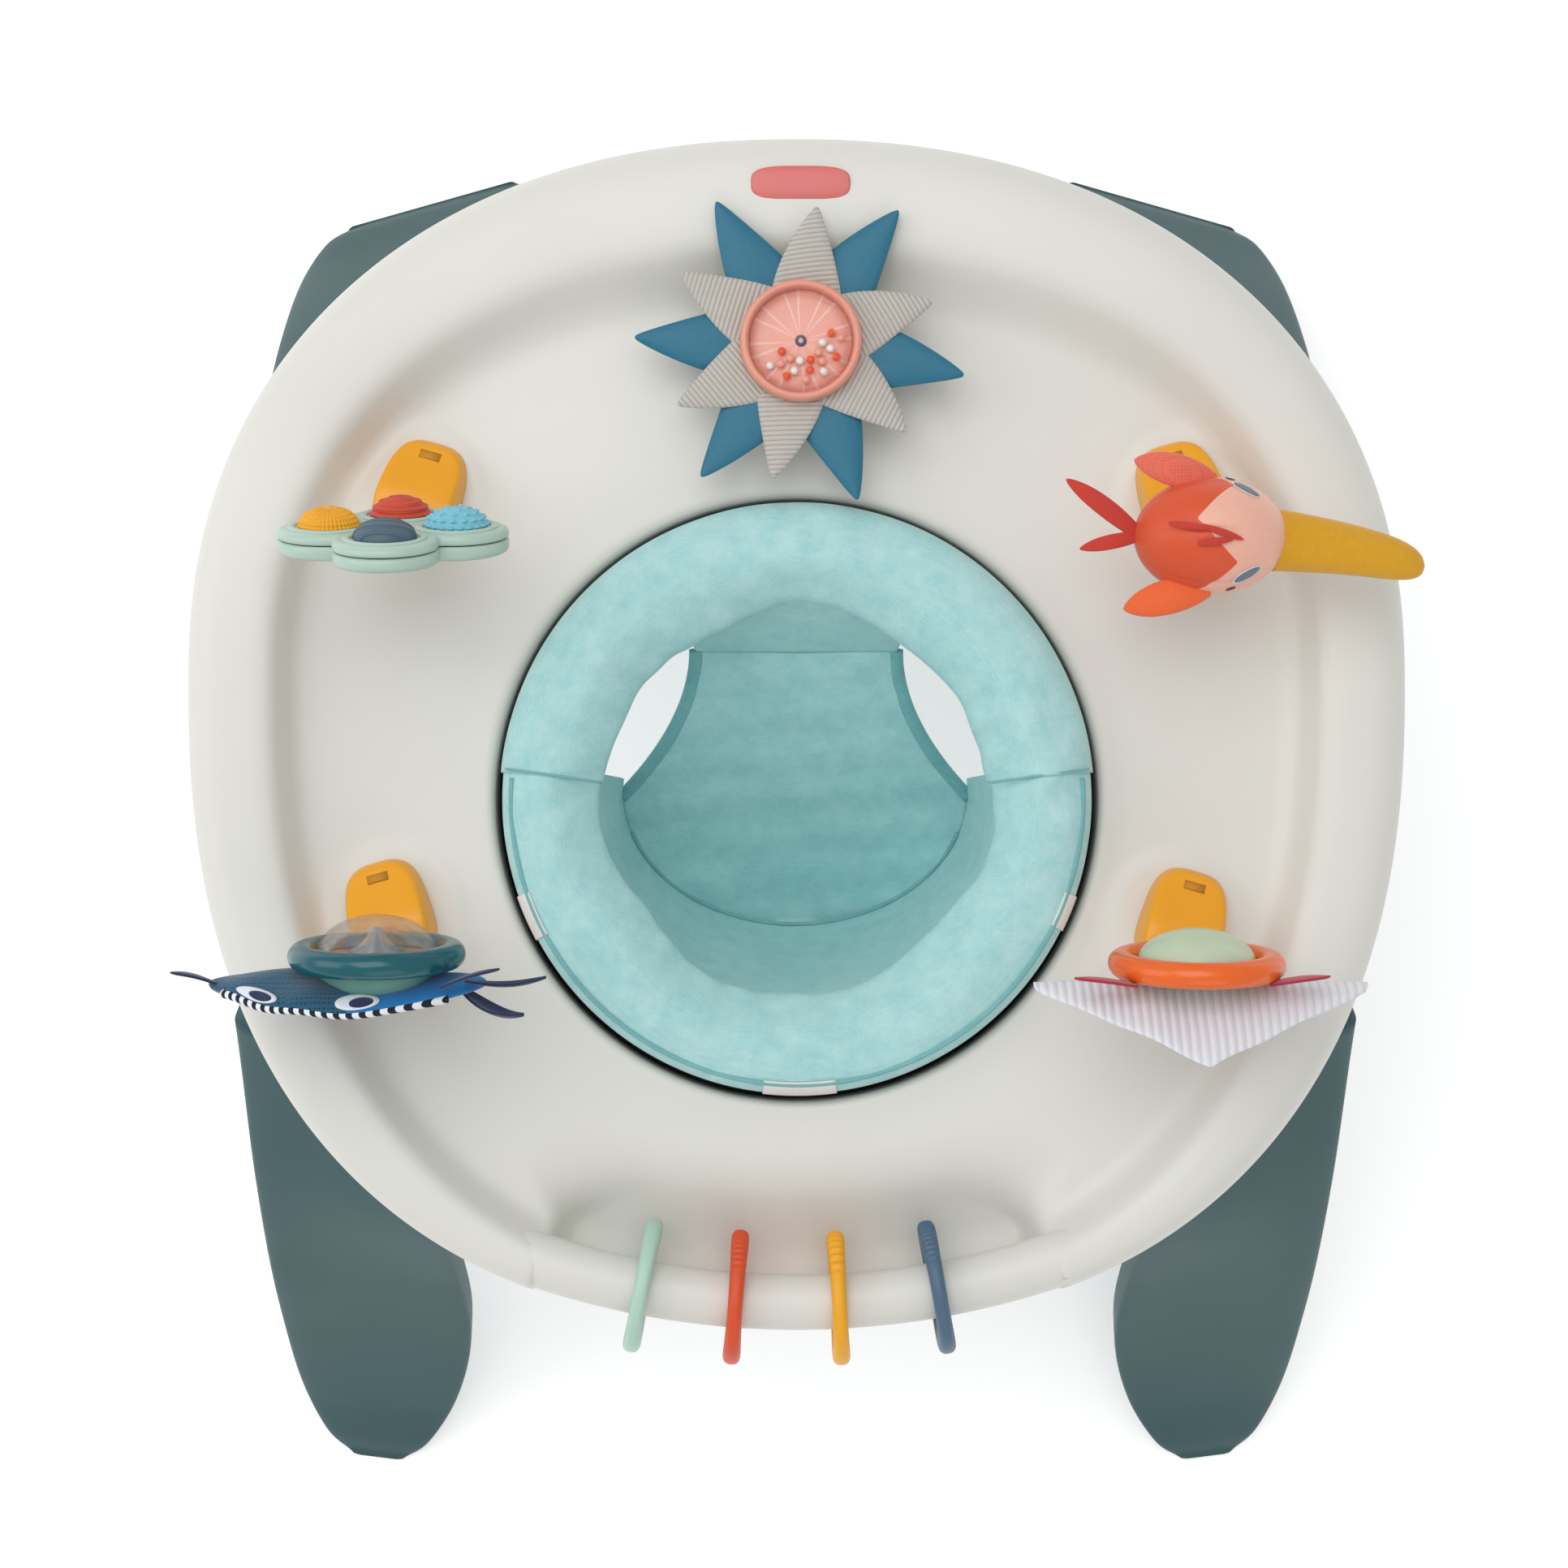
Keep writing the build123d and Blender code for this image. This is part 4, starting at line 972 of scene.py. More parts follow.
def knit(name, colour, shade, line_mm=2.4, ribs_with_painted_shade=0.0, holes_with_painted_shade=0.0, **shader_values):
    """Soft knit or felt: fibre noise, optional ribbing along the cloth's own length with painted shade in its
    valleys, and optional open mesh with painted shade in its pits.
    """
    made, tree, shader, where = new_material(name)
    mottled = add_node(
        tree, "ShaderNodeTexNoise", {"Vector": where, "Scale": 260.0, "Detail": 4.0, "Roughness": 0.7}
    )
    tone = add_node(
        tree,
        "ShaderNodeMix",
        {"Factor": mottled.outputs["Fac"], "A": linear(colour), "B": linear(shade)},
        data_type="RGBA",
    )
    height = mottled.outputs["Fac"]
    result = tone.outputs["Result"]
    if ribs_with_painted_shade:
        cloth = add_node(tree, "ShaderNodeUVMap", uv_map="cloth").outputs["UV"]
        wave = add_node(
            tree,
            "ShaderNodeTexWave",
            {"Vector": cloth, "Scale": TURN / (20 * line_mm * MM), "Distortion": 0.25},
            bands_direction="Y",
        )
        # Painted shade: the rib valleys are mixed toward a deep warm grey.
        rib_valley_painted_shade = add_node(
            tree,
            "ShaderNodeMapRange",
            {"Value": wave.outputs["Fac"], "From Min": 0.35, "From Max": 0.0, "To Max": ribs_with_painted_shade},
        )
        dark = add_node(
            tree,
            "ShaderNodeMix",
            {"Factor": rib_valley_painted_shade.outputs["Result"], "A": result, "B": linear("#5c5a56")},
            data_type="RGBA",
        )
        result = dark.outputs["Result"]
        height = add_node(
            tree, "ShaderNodeMath", {0: wave.outputs["Fac"], 1: 2.0, 2: height}, operation="MULTIPLY_ADD"
        ).outputs["Value"]
    if holes_with_painted_shade:
        cells = add_node(
            tree, "ShaderNodeTexVoronoi", {"Vector": where, "Scale": 1 / (line_mm * MM), "Randomness": 0.2}
        )
        # Painted shade: the mesh pits are mixed toward near-black navy.
        mesh_pit_painted_shade = add_node(
            tree,
            "ShaderNodeMapRange",
            {"Value": cells.outputs["Distance"], "From Min": 0.4, "From Max": 0.2, "To Max": holes_with_painted_shade},
        )
        dark = add_node(
            tree,
            "ShaderNodeMix",
            {"Factor": mesh_pit_painted_shade.outputs["Result"], "A": result, "B": linear("#0b1c2c")},
            data_type="RGBA",
        )
        result = dark.outputs["Result"]
        height = add_node(
            tree, "ShaderNodeMath", {0: height, 1: mesh_pit_painted_shade.outputs["Result"]}, operation="SUBTRACT"
        ).outputs["Value"]
    bump = add_node(tree, "ShaderNodeBump", {"Height": height, "Strength": 0.55, "Distance": 0.6 * MM})
    tree.links.new(result, shader.inputs["Base Color"])
    tree.links.new(bump.outputs["Normal"], shader.inputs["Normal"])
    shader.inputs["Roughness"].default_value = 0.9
    shader.inputs["Sheen Weight"].default_value = 0.3
    for socket, value in shader_values.items():
        shader.inputs[socket.replace("_", " ")].default_value = value
    return made


navy_felt = knit("navy_felt", "#1f2d54", "#17234a")
# The spacer mesh's pits carry painted shade.
mesh_teal = knit("spacer_mesh_teal", "#175a78", "#124e6b", 2.6, holes_with_painted_shade=0.8)
jersey_blue = knit("jersey_bright_blue", "#0f73b4", "#0c69a8")
eye_white = knit("felt_white", "#e6eaf2", "#dcdfe8")


FISH_HALF = (80.0, 40.0)
FISH_SHIFT = -17.0
FISH_FAT = 7.5
FISH_FLOP = 9.0


def fish_surface(s, spin, grow=0.0):
    """The fish as a lens-shaped pad: half-height falls to both tips and the upper half leans backwards."""
    tall = FISH_HALF[1] * np.clip(1 - np.abs(s) ** 2.0, 0.0, 1) ** 0.75 + 0.6
    up = tall * np.sin(spin)
    fat = FISH_FAT * (np.clip(1 - np.abs(s) ** 3, 0, 1) ** 0.5 * 0.92 + 0.08) + grow
    rise, fall = (up / FISH_HALF[1]).clip(0, None), (-up / FISH_HALF[1]).clip(0, None)
    bend = -FISH_FLOP * (rise**1.4 + 0.35 * fall**1.5)
    ahead = -9.0 - FISH_FAT + fat * np.cos(spin) + bend + 0.8 * np.sin(9 * s + up / 9)
    return toy_space("fish", FISH_SHIFT + FISH_HALF[0] * s, up + grow * np.sin(spin), ahead)


def fish_pad(name, material, start, stop, replaced=()):
    """A length of the fish, from one station to another, closed at both ends."""
    s = np.linspace(start, stop, 90)[:, None]
    spin = np.linspace(0, TURN, 72, endpoint=False)[None, :]
    uv = np.stack(np.broadcast_arrays(FISH_HALF[1] * spin * MM, FISH_HALF[0] * s * MM), axis=-1)
    grid_mesh(name, fish_surface(s, spin), material, "fish", replaced, caps=(True, True), uv=uv)


fish_pad("fish_head_pad", mesh_teal, -1.0, 0.06, ["fish_body"])
fish_pad("fish_tail_pad", jersey_blue, 0.06, 1.0)
stripes_made, tree, shader, where = new_material("striped_print_cotton")
split = add_node(tree, "ShaderNodeSeparateXYZ", {"Vector": where})
zig = add_node(tree, "ShaderNodeMath", {0: split.outputs["Z"], 1: 1 / (9 * MM)}, operation="MULTIPLY")
zag = add_node(
    tree,
    "ShaderNodeMath",
    {0: split.outputs["X"], 1: 1 / (7 * MM), 2: zig.outputs["Value"]},
    operation="MULTIPLY_ADD",
)
saw = add_node(tree, "ShaderNodeMath", {0: zag.outputs["Value"]}, operation="FRACT")
edge = add_node(tree, "ShaderNodeMath", {0: saw.outputs["Value"], 1: 0.5}, operation="GREATER_THAN")
print_mix = add_node(
    tree,
    "ShaderNodeMix",
    {"Factor": edge.outputs["Value"], "A": linear("#e8ecf0"), "B": linear("#121b2e")},
    data_type="RGBA",
)
tree.links.new(print_mix.outputs["Result"], shader.inputs["Base Color"])
shader.inputs["Roughness"].default_value = 0.9
edge_path = fish_surface(np.linspace(-0.86, 0.74, 100), np.radians(112.0))
grid_mesh("fish_striped_edge", tube(edge_path, 2.6, 16, 1.2), stripes_made, "fish", caps=(True, True))


def felt_leaf(name, toy, root, tip, width, bow, material, thick=1.6):
    """A felt leaf from root to tip, in toy space: widest a third of the way, bowed ahead, rounded at its tip."""
    t = np.linspace(0, 1, 44)[:, None]
    s = np.linspace(-1, 1, 13)[None, :]
    root, tip = np.array(root, dtype=float), np.array(tip, dtype=float)
    line = root + (tip - root) * t
    direction = (tip - root) / np.linalg.norm(tip - root)
    square = np.array([-direction[1], direction[0], 0.0])
    square /= max(np.linalg.norm(square), 1e-6)
    wide = width * (
        np.sin(np.pi * np.clip(t * 0.86 + 0.12, 0, 1)) ** 0.7
    ) * np.sqrt(np.clip(1 - t**8, 0, 1))
    point = line[:, None, :] + (wide * s)[..., None] * square
    point[..., 2] += bow * np.sin(np.pi * t * 0.8) * (1 - 0.3 * s**2)
    grid = toy_space(toy, point[..., 0], point[..., 1], point[..., 2])
    uv = np.stack(np.broadcast_arrays(wide * s * MM, t * np.linalg.norm(tip - root) * MM + 0 * s), axis=-1)
    made = grid_mesh(name, grid, material, toy, wrap=False, wall=thick, uv=uv)
    soft_edge = made.modifiers.new("soft", "SUBSURF")
    soft_edge.levels = soft_edge.render_levels = 1
    return made


felt_leaf("fish_fin_left", "fish", (-92, 4, -16), (-116, 14, -10), 7, 3, navy_felt)
felt_leaf("fish_fin_right_upper", "fish", (52, 18, -12), (98, 10, -8), 5, -6, navy_felt)
felt_leaf("fish_fin_right_top", "fish", (40, 30, -14), (74, 38, -4), 6, 3, navy_felt)
felt_leaf("fish_fin_right_lower", "fish", (50, -6, -22), (86, 22, -26), 7, -9, navy_felt)
for place, middle in (("left", -0.60), ("right", 0.13)):
    for name, reach, turned, grow, material in (
        ("white", 0.155, 17.0, 0.7, eye_white), ("pupil", 0.085, 11.0, 1.2, navy_felt)
    ):
        t = np.array([0.03, 0.4, 0.75, 1.0])[:, None]
        loop = np.linspace(0, TURN, 48, endpoint=False)[None, :]
        shift = 0.03 if name == "pupil" else 0.0
        grid = fish_surface(
            middle + shift + reach * t * np.cos(loop), np.radians(66.0 + turned * t * np.sin(loop)), grow
        )
        grid_mesh(f"fish_eye_{name}_{place}", grid, material, "fish", caps=(True, False), wall=0.8)

# --- Ray cloth ------------------------------------------------------------------------------------
# The ray is a white ribbed kite of cloth, with painted shade in its rib valleys, that flops over backwards behind
# its ring, with crimson felt fins.
ribbed_white = knit("ribbed_white_cotton", "#e9ebf2", "#dfe2ea", 5.2, ribs_with_painted_shade=0.22)
crimson = knit("crimson_felt", "#b3263f", "#a81f38")
t = np.linspace(-1, 1, 120)[:, None]
spin = np.linspace(0, TURN, 64, endpoint=False)[None, :]
kite = (1 - np.abs(t)) * 0.82 + 0.18 * np.sqrt(np.clip(1 - t**2, 0, 1))
up = (3.0 + 43.0 * kite) * np.sin(spin) + 3.0
fat = 1.4 + 5.6 * np.sqrt(kite)
rise = (up / 46.0).clip(0, None)
ahead = -10.0 - fat + fat * np.cos(spin) - 31.0 * rise**1.25 * kite**0.35 + 0.9 * np.sin(14 * t) * kite
ray_cloth = toy_space("ray", 96.0 * t + 2, up, ahead)
uv = np.stack(np.broadcast_arrays(up * MM, 96.0 * t * MM + 0 * up), axis=-1)
grid_mesh("ray_kite", ray_cloth, ribbed_white, "ray", ["ray_body"], caps=(True, True), uv=uv)
felt_leaf("ray_fin_left", "ray", (-38, 28, -8), (-74, 34, -4), 8, 2, crimson)
felt_leaf("ray_fin_right", "ray", (38, 24, -8), (72, 28, -4), 8, 2, crimson)

# --- Bird -----------------------------------------------------------------------------------------
# A stuffed satin bird in gores: orange-red behind, peach over the head, with coral wings, a two-feather tail,
# stitched felt crest bits, printed sleepy eyes and a long yellow felt beak.
BIRD_HALF = (44.0, 34.0)
satin_orange = knit("satin_orange_red", "#dc5226", "#d34a20", Roughness=0.45, Sheen_Weight=0.1)
satin_peach = knit("satin_peach", "#efb7a2", "#eab09a", Roughness=0.42, Sheen_Weight=0.1)
# The coral knit's small pits carry painted shade.
coral_knit = knit("coral_knit", "#e8705a", "#df6550", 1.8, holes_with_painted_shade=0.25)
orange_felt = knit("orange_felt", "#ec6a35", "#e3602c")
red_felt = knit("red_felt", "#c93d2e", "#bf3527")
yellow_felt = knit("yellow_felt", "#e0a51a", "#c99312")
bx, by, bz = TOY_AT["bird"]
spin = np.linspace(0, TURN, 144, endpoint=False)[None, :]


def bird_gores(name, start, stop, material, bite, replaced=()):
    """Part of the bird's ellipsoid between two stations; six seams pull in, and the joint line is zigzag."""
    t = np.linspace(0, 1, 60)[:, None]
    first = start + bite[0] * np.abs(((spin / TURN * 4 + 0.125) % 1) - 0.5)
    last = stop + bite[1] * np.abs(((spin / TURN * 4 + 0.125) % 1) - 0.5)
    polar = first + (last - first) * t
    seam = 1 - 0.022 * np.exp(-(((spin / TURN * 6) % 1 - 0.5) / 0.05) ** 2)
    x = bx + BIRD_HALF[0] * np.cos(polar) + 0 * spin
    radius = BIRD_HALF[1] * np.sin(polar) * seam
    grid = np.stack([x, by + radius * np.cos(spin), bz + radius * np.sin(spin)], axis=-1)
    made = grid_mesh(name, grid, material, "bird", replaced, caps=(start < 0.3, stop > 2.9))
    return made


bird_gores("bird_head", 0.01, 1.30, satin_peach, (0.0, 1.1), ["bird_body"])
bird_gores("bird_rump", 1.30, np.pi - 0.01, satin_orange, (1.1, 0.0))
t = np.linspace(0, 1, 60)[:, None]
beak_x = bx + 36.0 + 89.0 * t
beak_y = by - 15.0 * t - 2.0 + 2.0 * np.sin(3 * t)
droop = -4.0 * t**2
girth = (18.0 - 6.5 * t) * np.sqrt(np.clip(1 - t**10, 0.0, 1)) + 0.3
dent = 1 - 0.10 * np.exp(-(((spin / TURN * 2) % 1 - 0.5) / 0.08) ** 2)
beak = np.stack(
    [
        beak_x + 0 * spin,
        beak_y + girth * dent * np.cos(spin),
        bz + droop + 0.68 * girth * dent * np.sin(spin),
    ],
    axis=-1,
)
grid_mesh("bird_bill", beak, yellow_felt, "bird", ["bird_beak"], caps=(True, True))


def bird_leaf(name, root, tip, width, material, thick, arch=0.0, replaced=()):
    """A flat stuffed leaf in plan from root to tip: an elongated oval with a rounded end, arched upwards."""
    t = np.linspace(0, 1, 40)[:, None]
    spin = np.linspace(0, TURN, 36, endpoint=False)[None, :]
    root, tip = np.array(root, dtype=float), np.array(tip, dtype=float)
    along = (tip - root) / np.linalg.norm(tip - root)
    square = np.cross([0, 0, 1.0], along)
    square /= np.linalg.norm(square)
    wide = width * np.sin(np.pi * (0.1 + 0.85 * t)) ** 0.55 * np.sqrt(np.clip(1 - t**9, 0.0, 1)) + 0.2
    line = root + (tip - root) * t + np.array([0, 0, arch]) * np.sin(np.pi * t)
    grid = line[:, None] + (wide * np.cos(spin))[..., None] * square + (
        (thick * wide / width + 0.4) * np.sin(spin)
    )[..., None] * np.array([0, 0, 1.0])
    made = grid_mesh(name, grid, material, "bird", replaced, caps=(True, True))
    return made


bird_leaf(
    "bird_wing_back",
    (bx + 2, by + 30, bz + 6),
    (bx - 44, by + 44, bz + 2),
    9.5,
    coral_knit,
    4.0,
    5,
    ["bird_wings"],
)
bird_leaf(
    "bird_wing_front", (bx - 2, by - 30, bz + 6), (bx - 50, by - 42, bz - 4), 10.0, orange_felt, 4.0, 5
)
bird_leaf("bird_tail_long", (bx - 40, by, bz), (bx - 84, by + 32, bz + 8), 5.5, red_felt, 1.6, 4)
bird_leaf("bird_tail_short", (bx - 40, by, bz), (bx - 76, by - 8, bz + 4), 4.2, red_felt, 1.4, 3)
for name, root, tip in (
    ("a", (-28, 4, 30), (-6, 0, 35.5)),
    ("b", (-10, 2, 33.6), (14, -6, 33.4)),
    ("c", (-12, -8, 33), (8, -6, 34.2)),
):
    bird_leaf(
        f"bird_crest_{name}",
        np.array(root) + (bx, by, bz),
        np.array(tip) + (bx, by, bz),
        1.9,
        red_felt,
        0.8,
        1.5,
    )
eye_grey = knit("felt_grey", "#6f7a86", "#66717d")
eye_dark = knit("felt_dark", "#3b3d44", "#33353b")
for side, word in ((1, "back"), (-1, "front")):
    for name, along, high, half_long, half_wide, grow, material in (
        ("white", 0.0, 0.0, 8.0, 4.2, 0.5, eye_white),
        ("grey", 0.0, 0.6, 7.2, 3.2, 0.9, eye_grey),
        ("lash", -8.0, -7.0, 2.6, 0.9, 0.6, eye_dark),
    ):
        t = np.array([0.05, 0.6, 1.0])[:, None]
        dx = 18.0 + along + half_long * t * np.cos(spin)
        turn_up = np.radians(38.0) + (high + half_wide * t * np.sin(spin)) / 30.0 + 0.012 * (dx - 18)
        lift = (BIRD_HALF[1] * np.sqrt(1 - (dx / BIRD_HALF[0]) ** 2)) + grow
        grid = np.stack([bx + dx, by + side * lift * np.cos(turn_up), bz + lift * np.sin(turn_up)], axis=-1)
        grid_mesh(f"bird_eye_{name}_{word}", grid, material, "bird", caps=(True, False), wall=0.5)

# --- Sun ------------------------------------------------------------------------------------------
# A spinning sun: twelve pointed cloth rays, six in grey corduroy over six in teal satin, round a salmon hub with
# a clear dome, a pink dial with fine petal lines, and loose beads.
sun = box_middle("sun_dial")
sx, sy = sun[0], sun[1]
dress("sun_base", amber)
# The corduroy's rib valleys carry painted shade.
corduroy = knit("grey_corduroy", "#cbc7bf", "#bdb9b1", 3.0, ribs_with_painted_shade=0.42)
teal_satin = knit("teal_satin", "#17708c", "#126580", Roughness=0.5, Sheen_Weight=0.2)


def sun_ray(name, degrees, reach, base_z, width, material, replaced=(), tilt=0.0):
    """A stuffed pointed ray: flat oval section, gathered in pleats at the hub and slightly bowed."""
    t = np.linspace(0, 1, 56)[:, None]
    spin = np.linspace(0, TURN, 40, endpoint=False)[None, :]
    out = 25.0 + (reach - 25.0) * t
    wide = width * np.clip(1.02 - t**1.15, 0, 1) ** 0.9 * (
        1 + 0.10 * np.sin(np.pi * t)
    ) + 1.6 * np.sqrt(np.clip(1 - t**6, 0, 1)) + 0.2
    pleat = 0.9 * np.cos(5 * np.cos(spin) * np.pi) * np.exp(-t * 6)
    thick = 1.6 + 2.6 * np.sin(np.pi * np.clip(t, 0, 1)) ** 0.8 * (1 - 0.5 * t)
    across = wide * np.cos(spin)
    rise = base_z + 2.2 + thick * np.sin(spin) + pleat + tilt * t * across / width + 1.5 * np.sin(2.2 * t)
    turn = np.radians(degrees)
    lean = across + 2.0 * np.sin(2.5 * t)
    grid = np.stack(
        [
            sx + out * np.cos(turn) - lean * np.sin(turn),
            sy + out * np.sin(turn) + lean * np.cos(turn),
            rise + 0 * out,
        ],
        axis=-1,
    )
    uv = np.stack(np.broadcast_arrays(across * MM, (out + 0.25 * across) * MM), axis=-1)
    made = grid_mesh(name, grid, material, "sun", replaced, caps=(True, True), uv=uv)


for k, degrees in enumerate((-11.5, 53.3, 119.9, 177.0, 232.6, 289.3)):
    sun_ray(
        f"sun_ray_teal_{k + 1}",
        degrees,
        99.5,
        433.0,
        21.0,
        teal_satin,
        ["sun_rays_teal"] if k == 0 else (),
        1.2 * (-1) ** k,
    )
for k, degrees in enumerate((16.7, 82.4, 148.5, 206.0, 257.5, 319.0)):
    sun_ray(
        f"sun_ray_grey_{k + 1}",
        degrees,
        82.5,
        436.8,
        19.5,
        corduroy,
        ["sun_rays_grey"] if k == 0 else (),
        1.0 * (-1) ** k,
    )


def sun_lathe(rows, spin):
    """Turns a profile of radius and height about the sun's own upright axis."""
    turned = [sx + rows[:, :1] * np.cos(spin), sy + rows[:, :1] * np.sin(spin), rows[:, 1:] + 0 * spin]
    return np.stack(turned, axis=-1)


pink_hub = moulded("abs_salmon_pink", "#e49a86", "#de937f", 0.34, 0.8, 0.06)
rows = np.array(
    [
        (6.8, 425.0),
        (7.0, 440.0),
        (30.0, 440.6),
        (35.4, 442.0),
        (36.5, 444.5),
        (36.5, 449.0),
        (36.0, 451.6),
        (34.8, 453.0),
        (33.0, 453.2),
        (31.7, 452.0),
        (31.2, 446.0),
        (31.0, 444.6),
    ]
)
spin = np.linspace(0, TURN, 120, endpoint=False)[None, :]
grid_mesh("sun_hub", sun_lathe(rows, spin), pink_hub, "sun", ["sun_bezel"], caps=(True, True))
# The dial is printed with two sets of thin petal curves: lines where the turn about the middle, swung by the
# distance out, meets a whole number of petals.
dial_pink, tree, shader, where = new_material("printed_pink_dial")
centred = add_node(tree, "ShaderNodeMapping", {"Vector": where, "Location": (-sx * MM, -sy * MM, 0.0)})
parts = add_node(tree, "ShaderNodeSeparateXYZ", {"Vector": centred.outputs["Vector"]})
turned = add_node(
    tree, "ShaderNodeMath", {0: parts.outputs["Y"], 1: parts.outputs["X"]}, operation="ARCTAN2"
)
spread = add_node(tree, "ShaderNodeVectorMath", {0: centred.outputs["Vector"]}, operation="LENGTH")
petals = None
for sense in (-1, 1):
    swing = add_node(
        tree,
        "ShaderNodeMath",
        {0: spread.outputs["Value"], 1: sense * 46.0, 2: turned.outputs["Value"]},
        operation="MULTIPLY_ADD",
    )
    ripple = add_node(tree, "ShaderNodeMath", {0: swing.outputs["Value"], 1: 8.0}, operation="MULTIPLY")
    wave = add_node(tree, "ShaderNodeMath", {0: ripple.outputs["Value"]}, operation="SINE")
    thin = add_node(
        tree,
        "ShaderNodeMapRange",
        {"Value": wave.outputs["Value"], "From Min": 0.955, "From Max": 1.0, "To Max": 0.5},
    )
    petals = thin.outputs["Result"] if petals is None else add_node(
        tree, "ShaderNodeMath", {0: petals, 1: thin.outputs["Result"]}, operation="MAXIMUM"
    ).outputs["Value"]
ink = add_node(
    tree,
    "ShaderNodeMix",
    {"Factor": petals, "A": linear("#e9a493"), "B": linear("#f7dfd6")},
    data_type="RGBA",
)
tree.links.new(ink.outputs["Result"], shader.inputs["Base Color"])
shader.inputs["Roughness"].default_value = 0.35
rows = np.array([(0.4, 446.2), (12.0, 446.2), (24.0, 446.2), (30.4, 446.0), (30.9, 445.0), (30.9, 444.2)])
grid_mesh("sun_dial_face", sun_lathe(rows, spin), dial_pink, "sun", ["sun_dial"], caps=(True, True))
for name, radius, high, material in (
    ("ring", 3.4, 447.0, moulded("eyelet_mauve", "#5d4a5c", "#55435a", 0.3)),
    ("pip", 1.5, 447.9, moulded("eyelet_pale", "#cdbcc4", "#c5b3bc", 0.3)),
):
    rows = np.array([(0.1, high + 0.5), (radius * 0.6, high + 0.45), (radius, high), (radius, 446.0)])
    grid_mesh(f"sun_eyelet_{name}", sun_lathe(rows, spin), material, "sun", caps=(True, True))
polar = np.linspace(0.01, 1, 40)[:, None]
cap = np.stack(
    [
        sx + 31.2 * polar * np.cos(spin),
        sy + 31.2 * polar * np.sin(spin),
        446.6 + 17.0 * np.sqrt(1 - polar**2) + 0 * spin,
    ],
    axis=-1,
)
grid_mesh("sun_clear_dome", cap, clear_dome, "sun", ["sun_dome"], caps=(True, False), wall=1.2)
bead_colours = [
    moulded(f"bead_{word}", tint, tint, 0.2)
    for word, tint in (("orange", "#ee5a2a"), ("pink", "#f0a48c"), ("white", "#ece8e2"))
]
polar = np.linspace(0.05, np.pi - 0.05, 14)[:, None]
spin = np.linspace(0, TURN, 20, endpoint=False)[None, :]
spots = [(-150 + 9.6 * k, 13.0 + 5.2 * ((k * 2) % 3) + rng.uniform(-0.7, 0.7)) for k in range(18)]
for k, (degrees, out) in enumerate(spots):
    cx, cy = sx + out * np.cos(np.radians(degrees)), sy + out * np.sin(np.radians(degrees))
    bead = np.stack(
        [
            cx + 2.5 * np.sin(polar) * np.cos(spin),
            cy + 2.5 * np.sin(polar) * np.sin(spin),
            448.9 + 2.5 * np.cos(polar) + 0 * spin,
        ],
        axis=-1,
    )
    grid_mesh(
        f"sun_bead_{k + 1}",
        bead,
        bead_colours[(k * 5 + k // 3) % 3],
        "sun",
        ["sun_beads"] if k == 0 else (),
        caps=(True, True),
    )

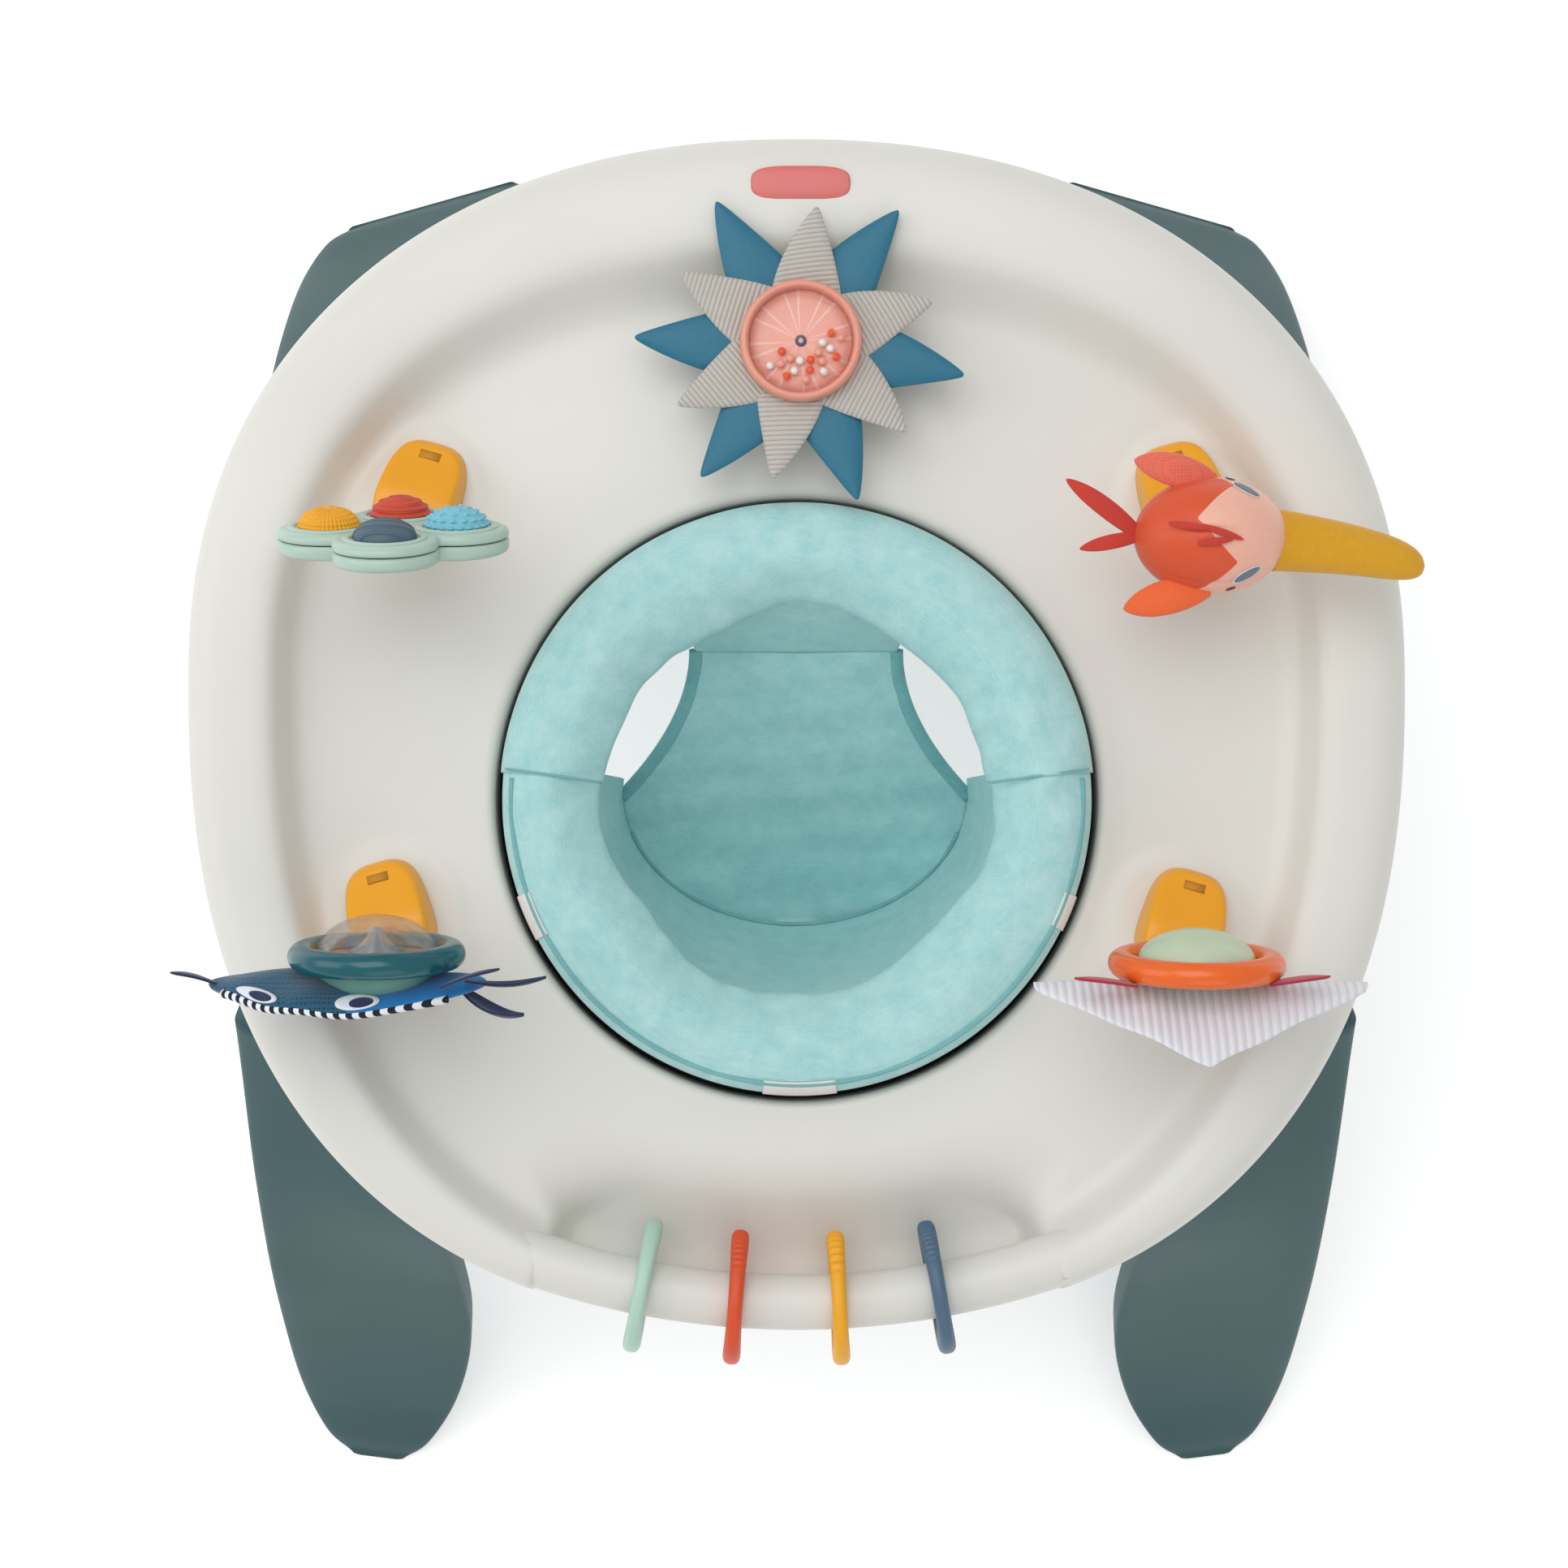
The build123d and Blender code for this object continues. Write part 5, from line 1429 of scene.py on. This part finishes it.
# --- Teething rings -------------------------------------------------------------------------------
# Four soft moulded rings on the bar, each 82 mm across with its own chewing texture along one side.
RING_R = 41.0
RING_HOLE = 27.0
ring_finish = {
    "mint": moulded("tpe_mint", "#b4d8c6", "#accfbe", 0.45, 0.6, 0.15),
    "orange": moulded("tpe_orange_red", "#dd5224", "#d54a1e", 0.45, 0.6, 0.15),
    "yellow": moulded("tpe_yellow", "#f2ab14", "#eaa30f", 0.45, 0.6, 0.15),
    "blue": moulded("tpe_slate_blue", "#4d6b84", "#46637b", 0.45, 0.6, 0.15),
}
RING_RIBS = {"mint": (0, 0.0), "orange": (56, 0.7), "yellow": (40, 1.0), "blue": (64, 0.7)}
for name, finish in ring_finish.items():
    cx, cy, cz = box_middle(f"ring_{name}")
    bearing = np.arctan2(cx, BAR_AXIS_Y - cy)
    loop = np.linspace(0, TURN, 320, endpoint=False)[:, None]
    roll = np.linspace(0, TURN, 36, endpoint=False)[None, :]
    count, deep = RING_RIBS[name]
    ribbed = deep * np.sin(count * loop) * smoothstep(np.cos(loop - 3.6), 0.0, 0.35) * (np.cos(roll) > -0.2)
    swell = 1 + 0.10 * np.cos(2 * loop)
    radius = (RING_R + RING_HOLE) / 2 + (
        (RING_R - RING_HOLE) / 2 - 0.4
    ) * np.sign(np.cos(roll)) * np.abs(np.cos(roll)) ** 0.75 + ribbed - deep * (np.cos(roll) > -0.2)
    thick = 5.4 * swell / 1.1 * np.sign(np.sin(roll)) * np.abs(np.sin(roll)) ** 0.75 + 0 * loop
    radial, upward = radius * np.cos(loop), radius * np.sin(loop)
    ring = np.stack(
        [
            cx + np.sin(bearing) * radial + np.cos(bearing) * thick,
            cy - np.cos(bearing) * radial + np.sin(bearing) * thick,
            cz + upward,
        ],
        axis=-1,
    )
    grid_mesh(
            f"teething_ring_{name}", np.vstack([ring, ring[:1]]), finish, f"ring_{name}", [f"ring_{name}"]
        )

# --- Studio ---------------------------------------------------------------------------------------
# A white floor, a broad overhead panel, and two weaker side panels; the camera looks straight down.
floor_paint, tree, shader, where = new_material("studio_floor_paint")
shader.inputs["Base Color"].default_value = (0.93, 0.93, 0.93, 1.0)
shader.inputs["Roughness"].default_value = 0.9
shader.inputs["Emission Color"].default_value = (1, 1, 1, 1)
shader.inputs["Emission Strength"].default_value = 0.35
bpy.ops.mesh.primitive_plane_add(size=60, location=(0, 0, 0))
floor_plane = bpy.context.object
floor_plane.name = "studio_floor"
floor_plane.data.materials.append(floor_paint)
for name, place, size, power in (
    ("overhead", (-0.4, 0.9, 3.2), 2.2, 34),
    ("left", (-2.6, 0.4, 2.0), 2.0, 20),
    ("front", (0.6, -2.8, 2.2), 2.4, 12),
):
    lamp = bpy.data.lights.new(name, "AREA")
    lamp.size = size
    lamp.energy = power
    panel_light = bpy.data.objects.new(name, lamp)
    bpy.context.scene.collection.objects.link(panel_light)
    panel_light.location = place
    panel_light.rotation_euler = (Vector((0, 0, 0.3)) - Vector(place)).to_track_quat("-Z", "Y").to_euler()
world = bpy.data.worlds.new("studio")
world.use_nodes = True
world.node_tree.nodes["Background"].inputs["Color"].default_value = (1, 1, 1, 1)
world.node_tree.nodes["Background"].inputs["Strength"].default_value = 0.55
bpy.context.scene.world = world
bpy.context.scene.view_settings.view_transform = "Standard"
lens = bpy.data.cameras.new("camera")
lens.lens = 67.1
lens.sensor_width = 36.0
lens.clip_end = 50
camera = bpy.data.objects.new("camera", lens)
bpy.context.scene.collection.objects.link(camera)
camera.location = (-0.016, -0.054, 2.180)
backward = (camera.location - Vector((-0.008, 0.008, 0.430))).normalized()
rightward = Vector((0, 1, 0)).cross(backward).normalized()
camera.rotation_euler = Matrix((rightward, backward.cross(rightward), backward)).transposed().to_euler()
bpy.context.scene.camera = camera
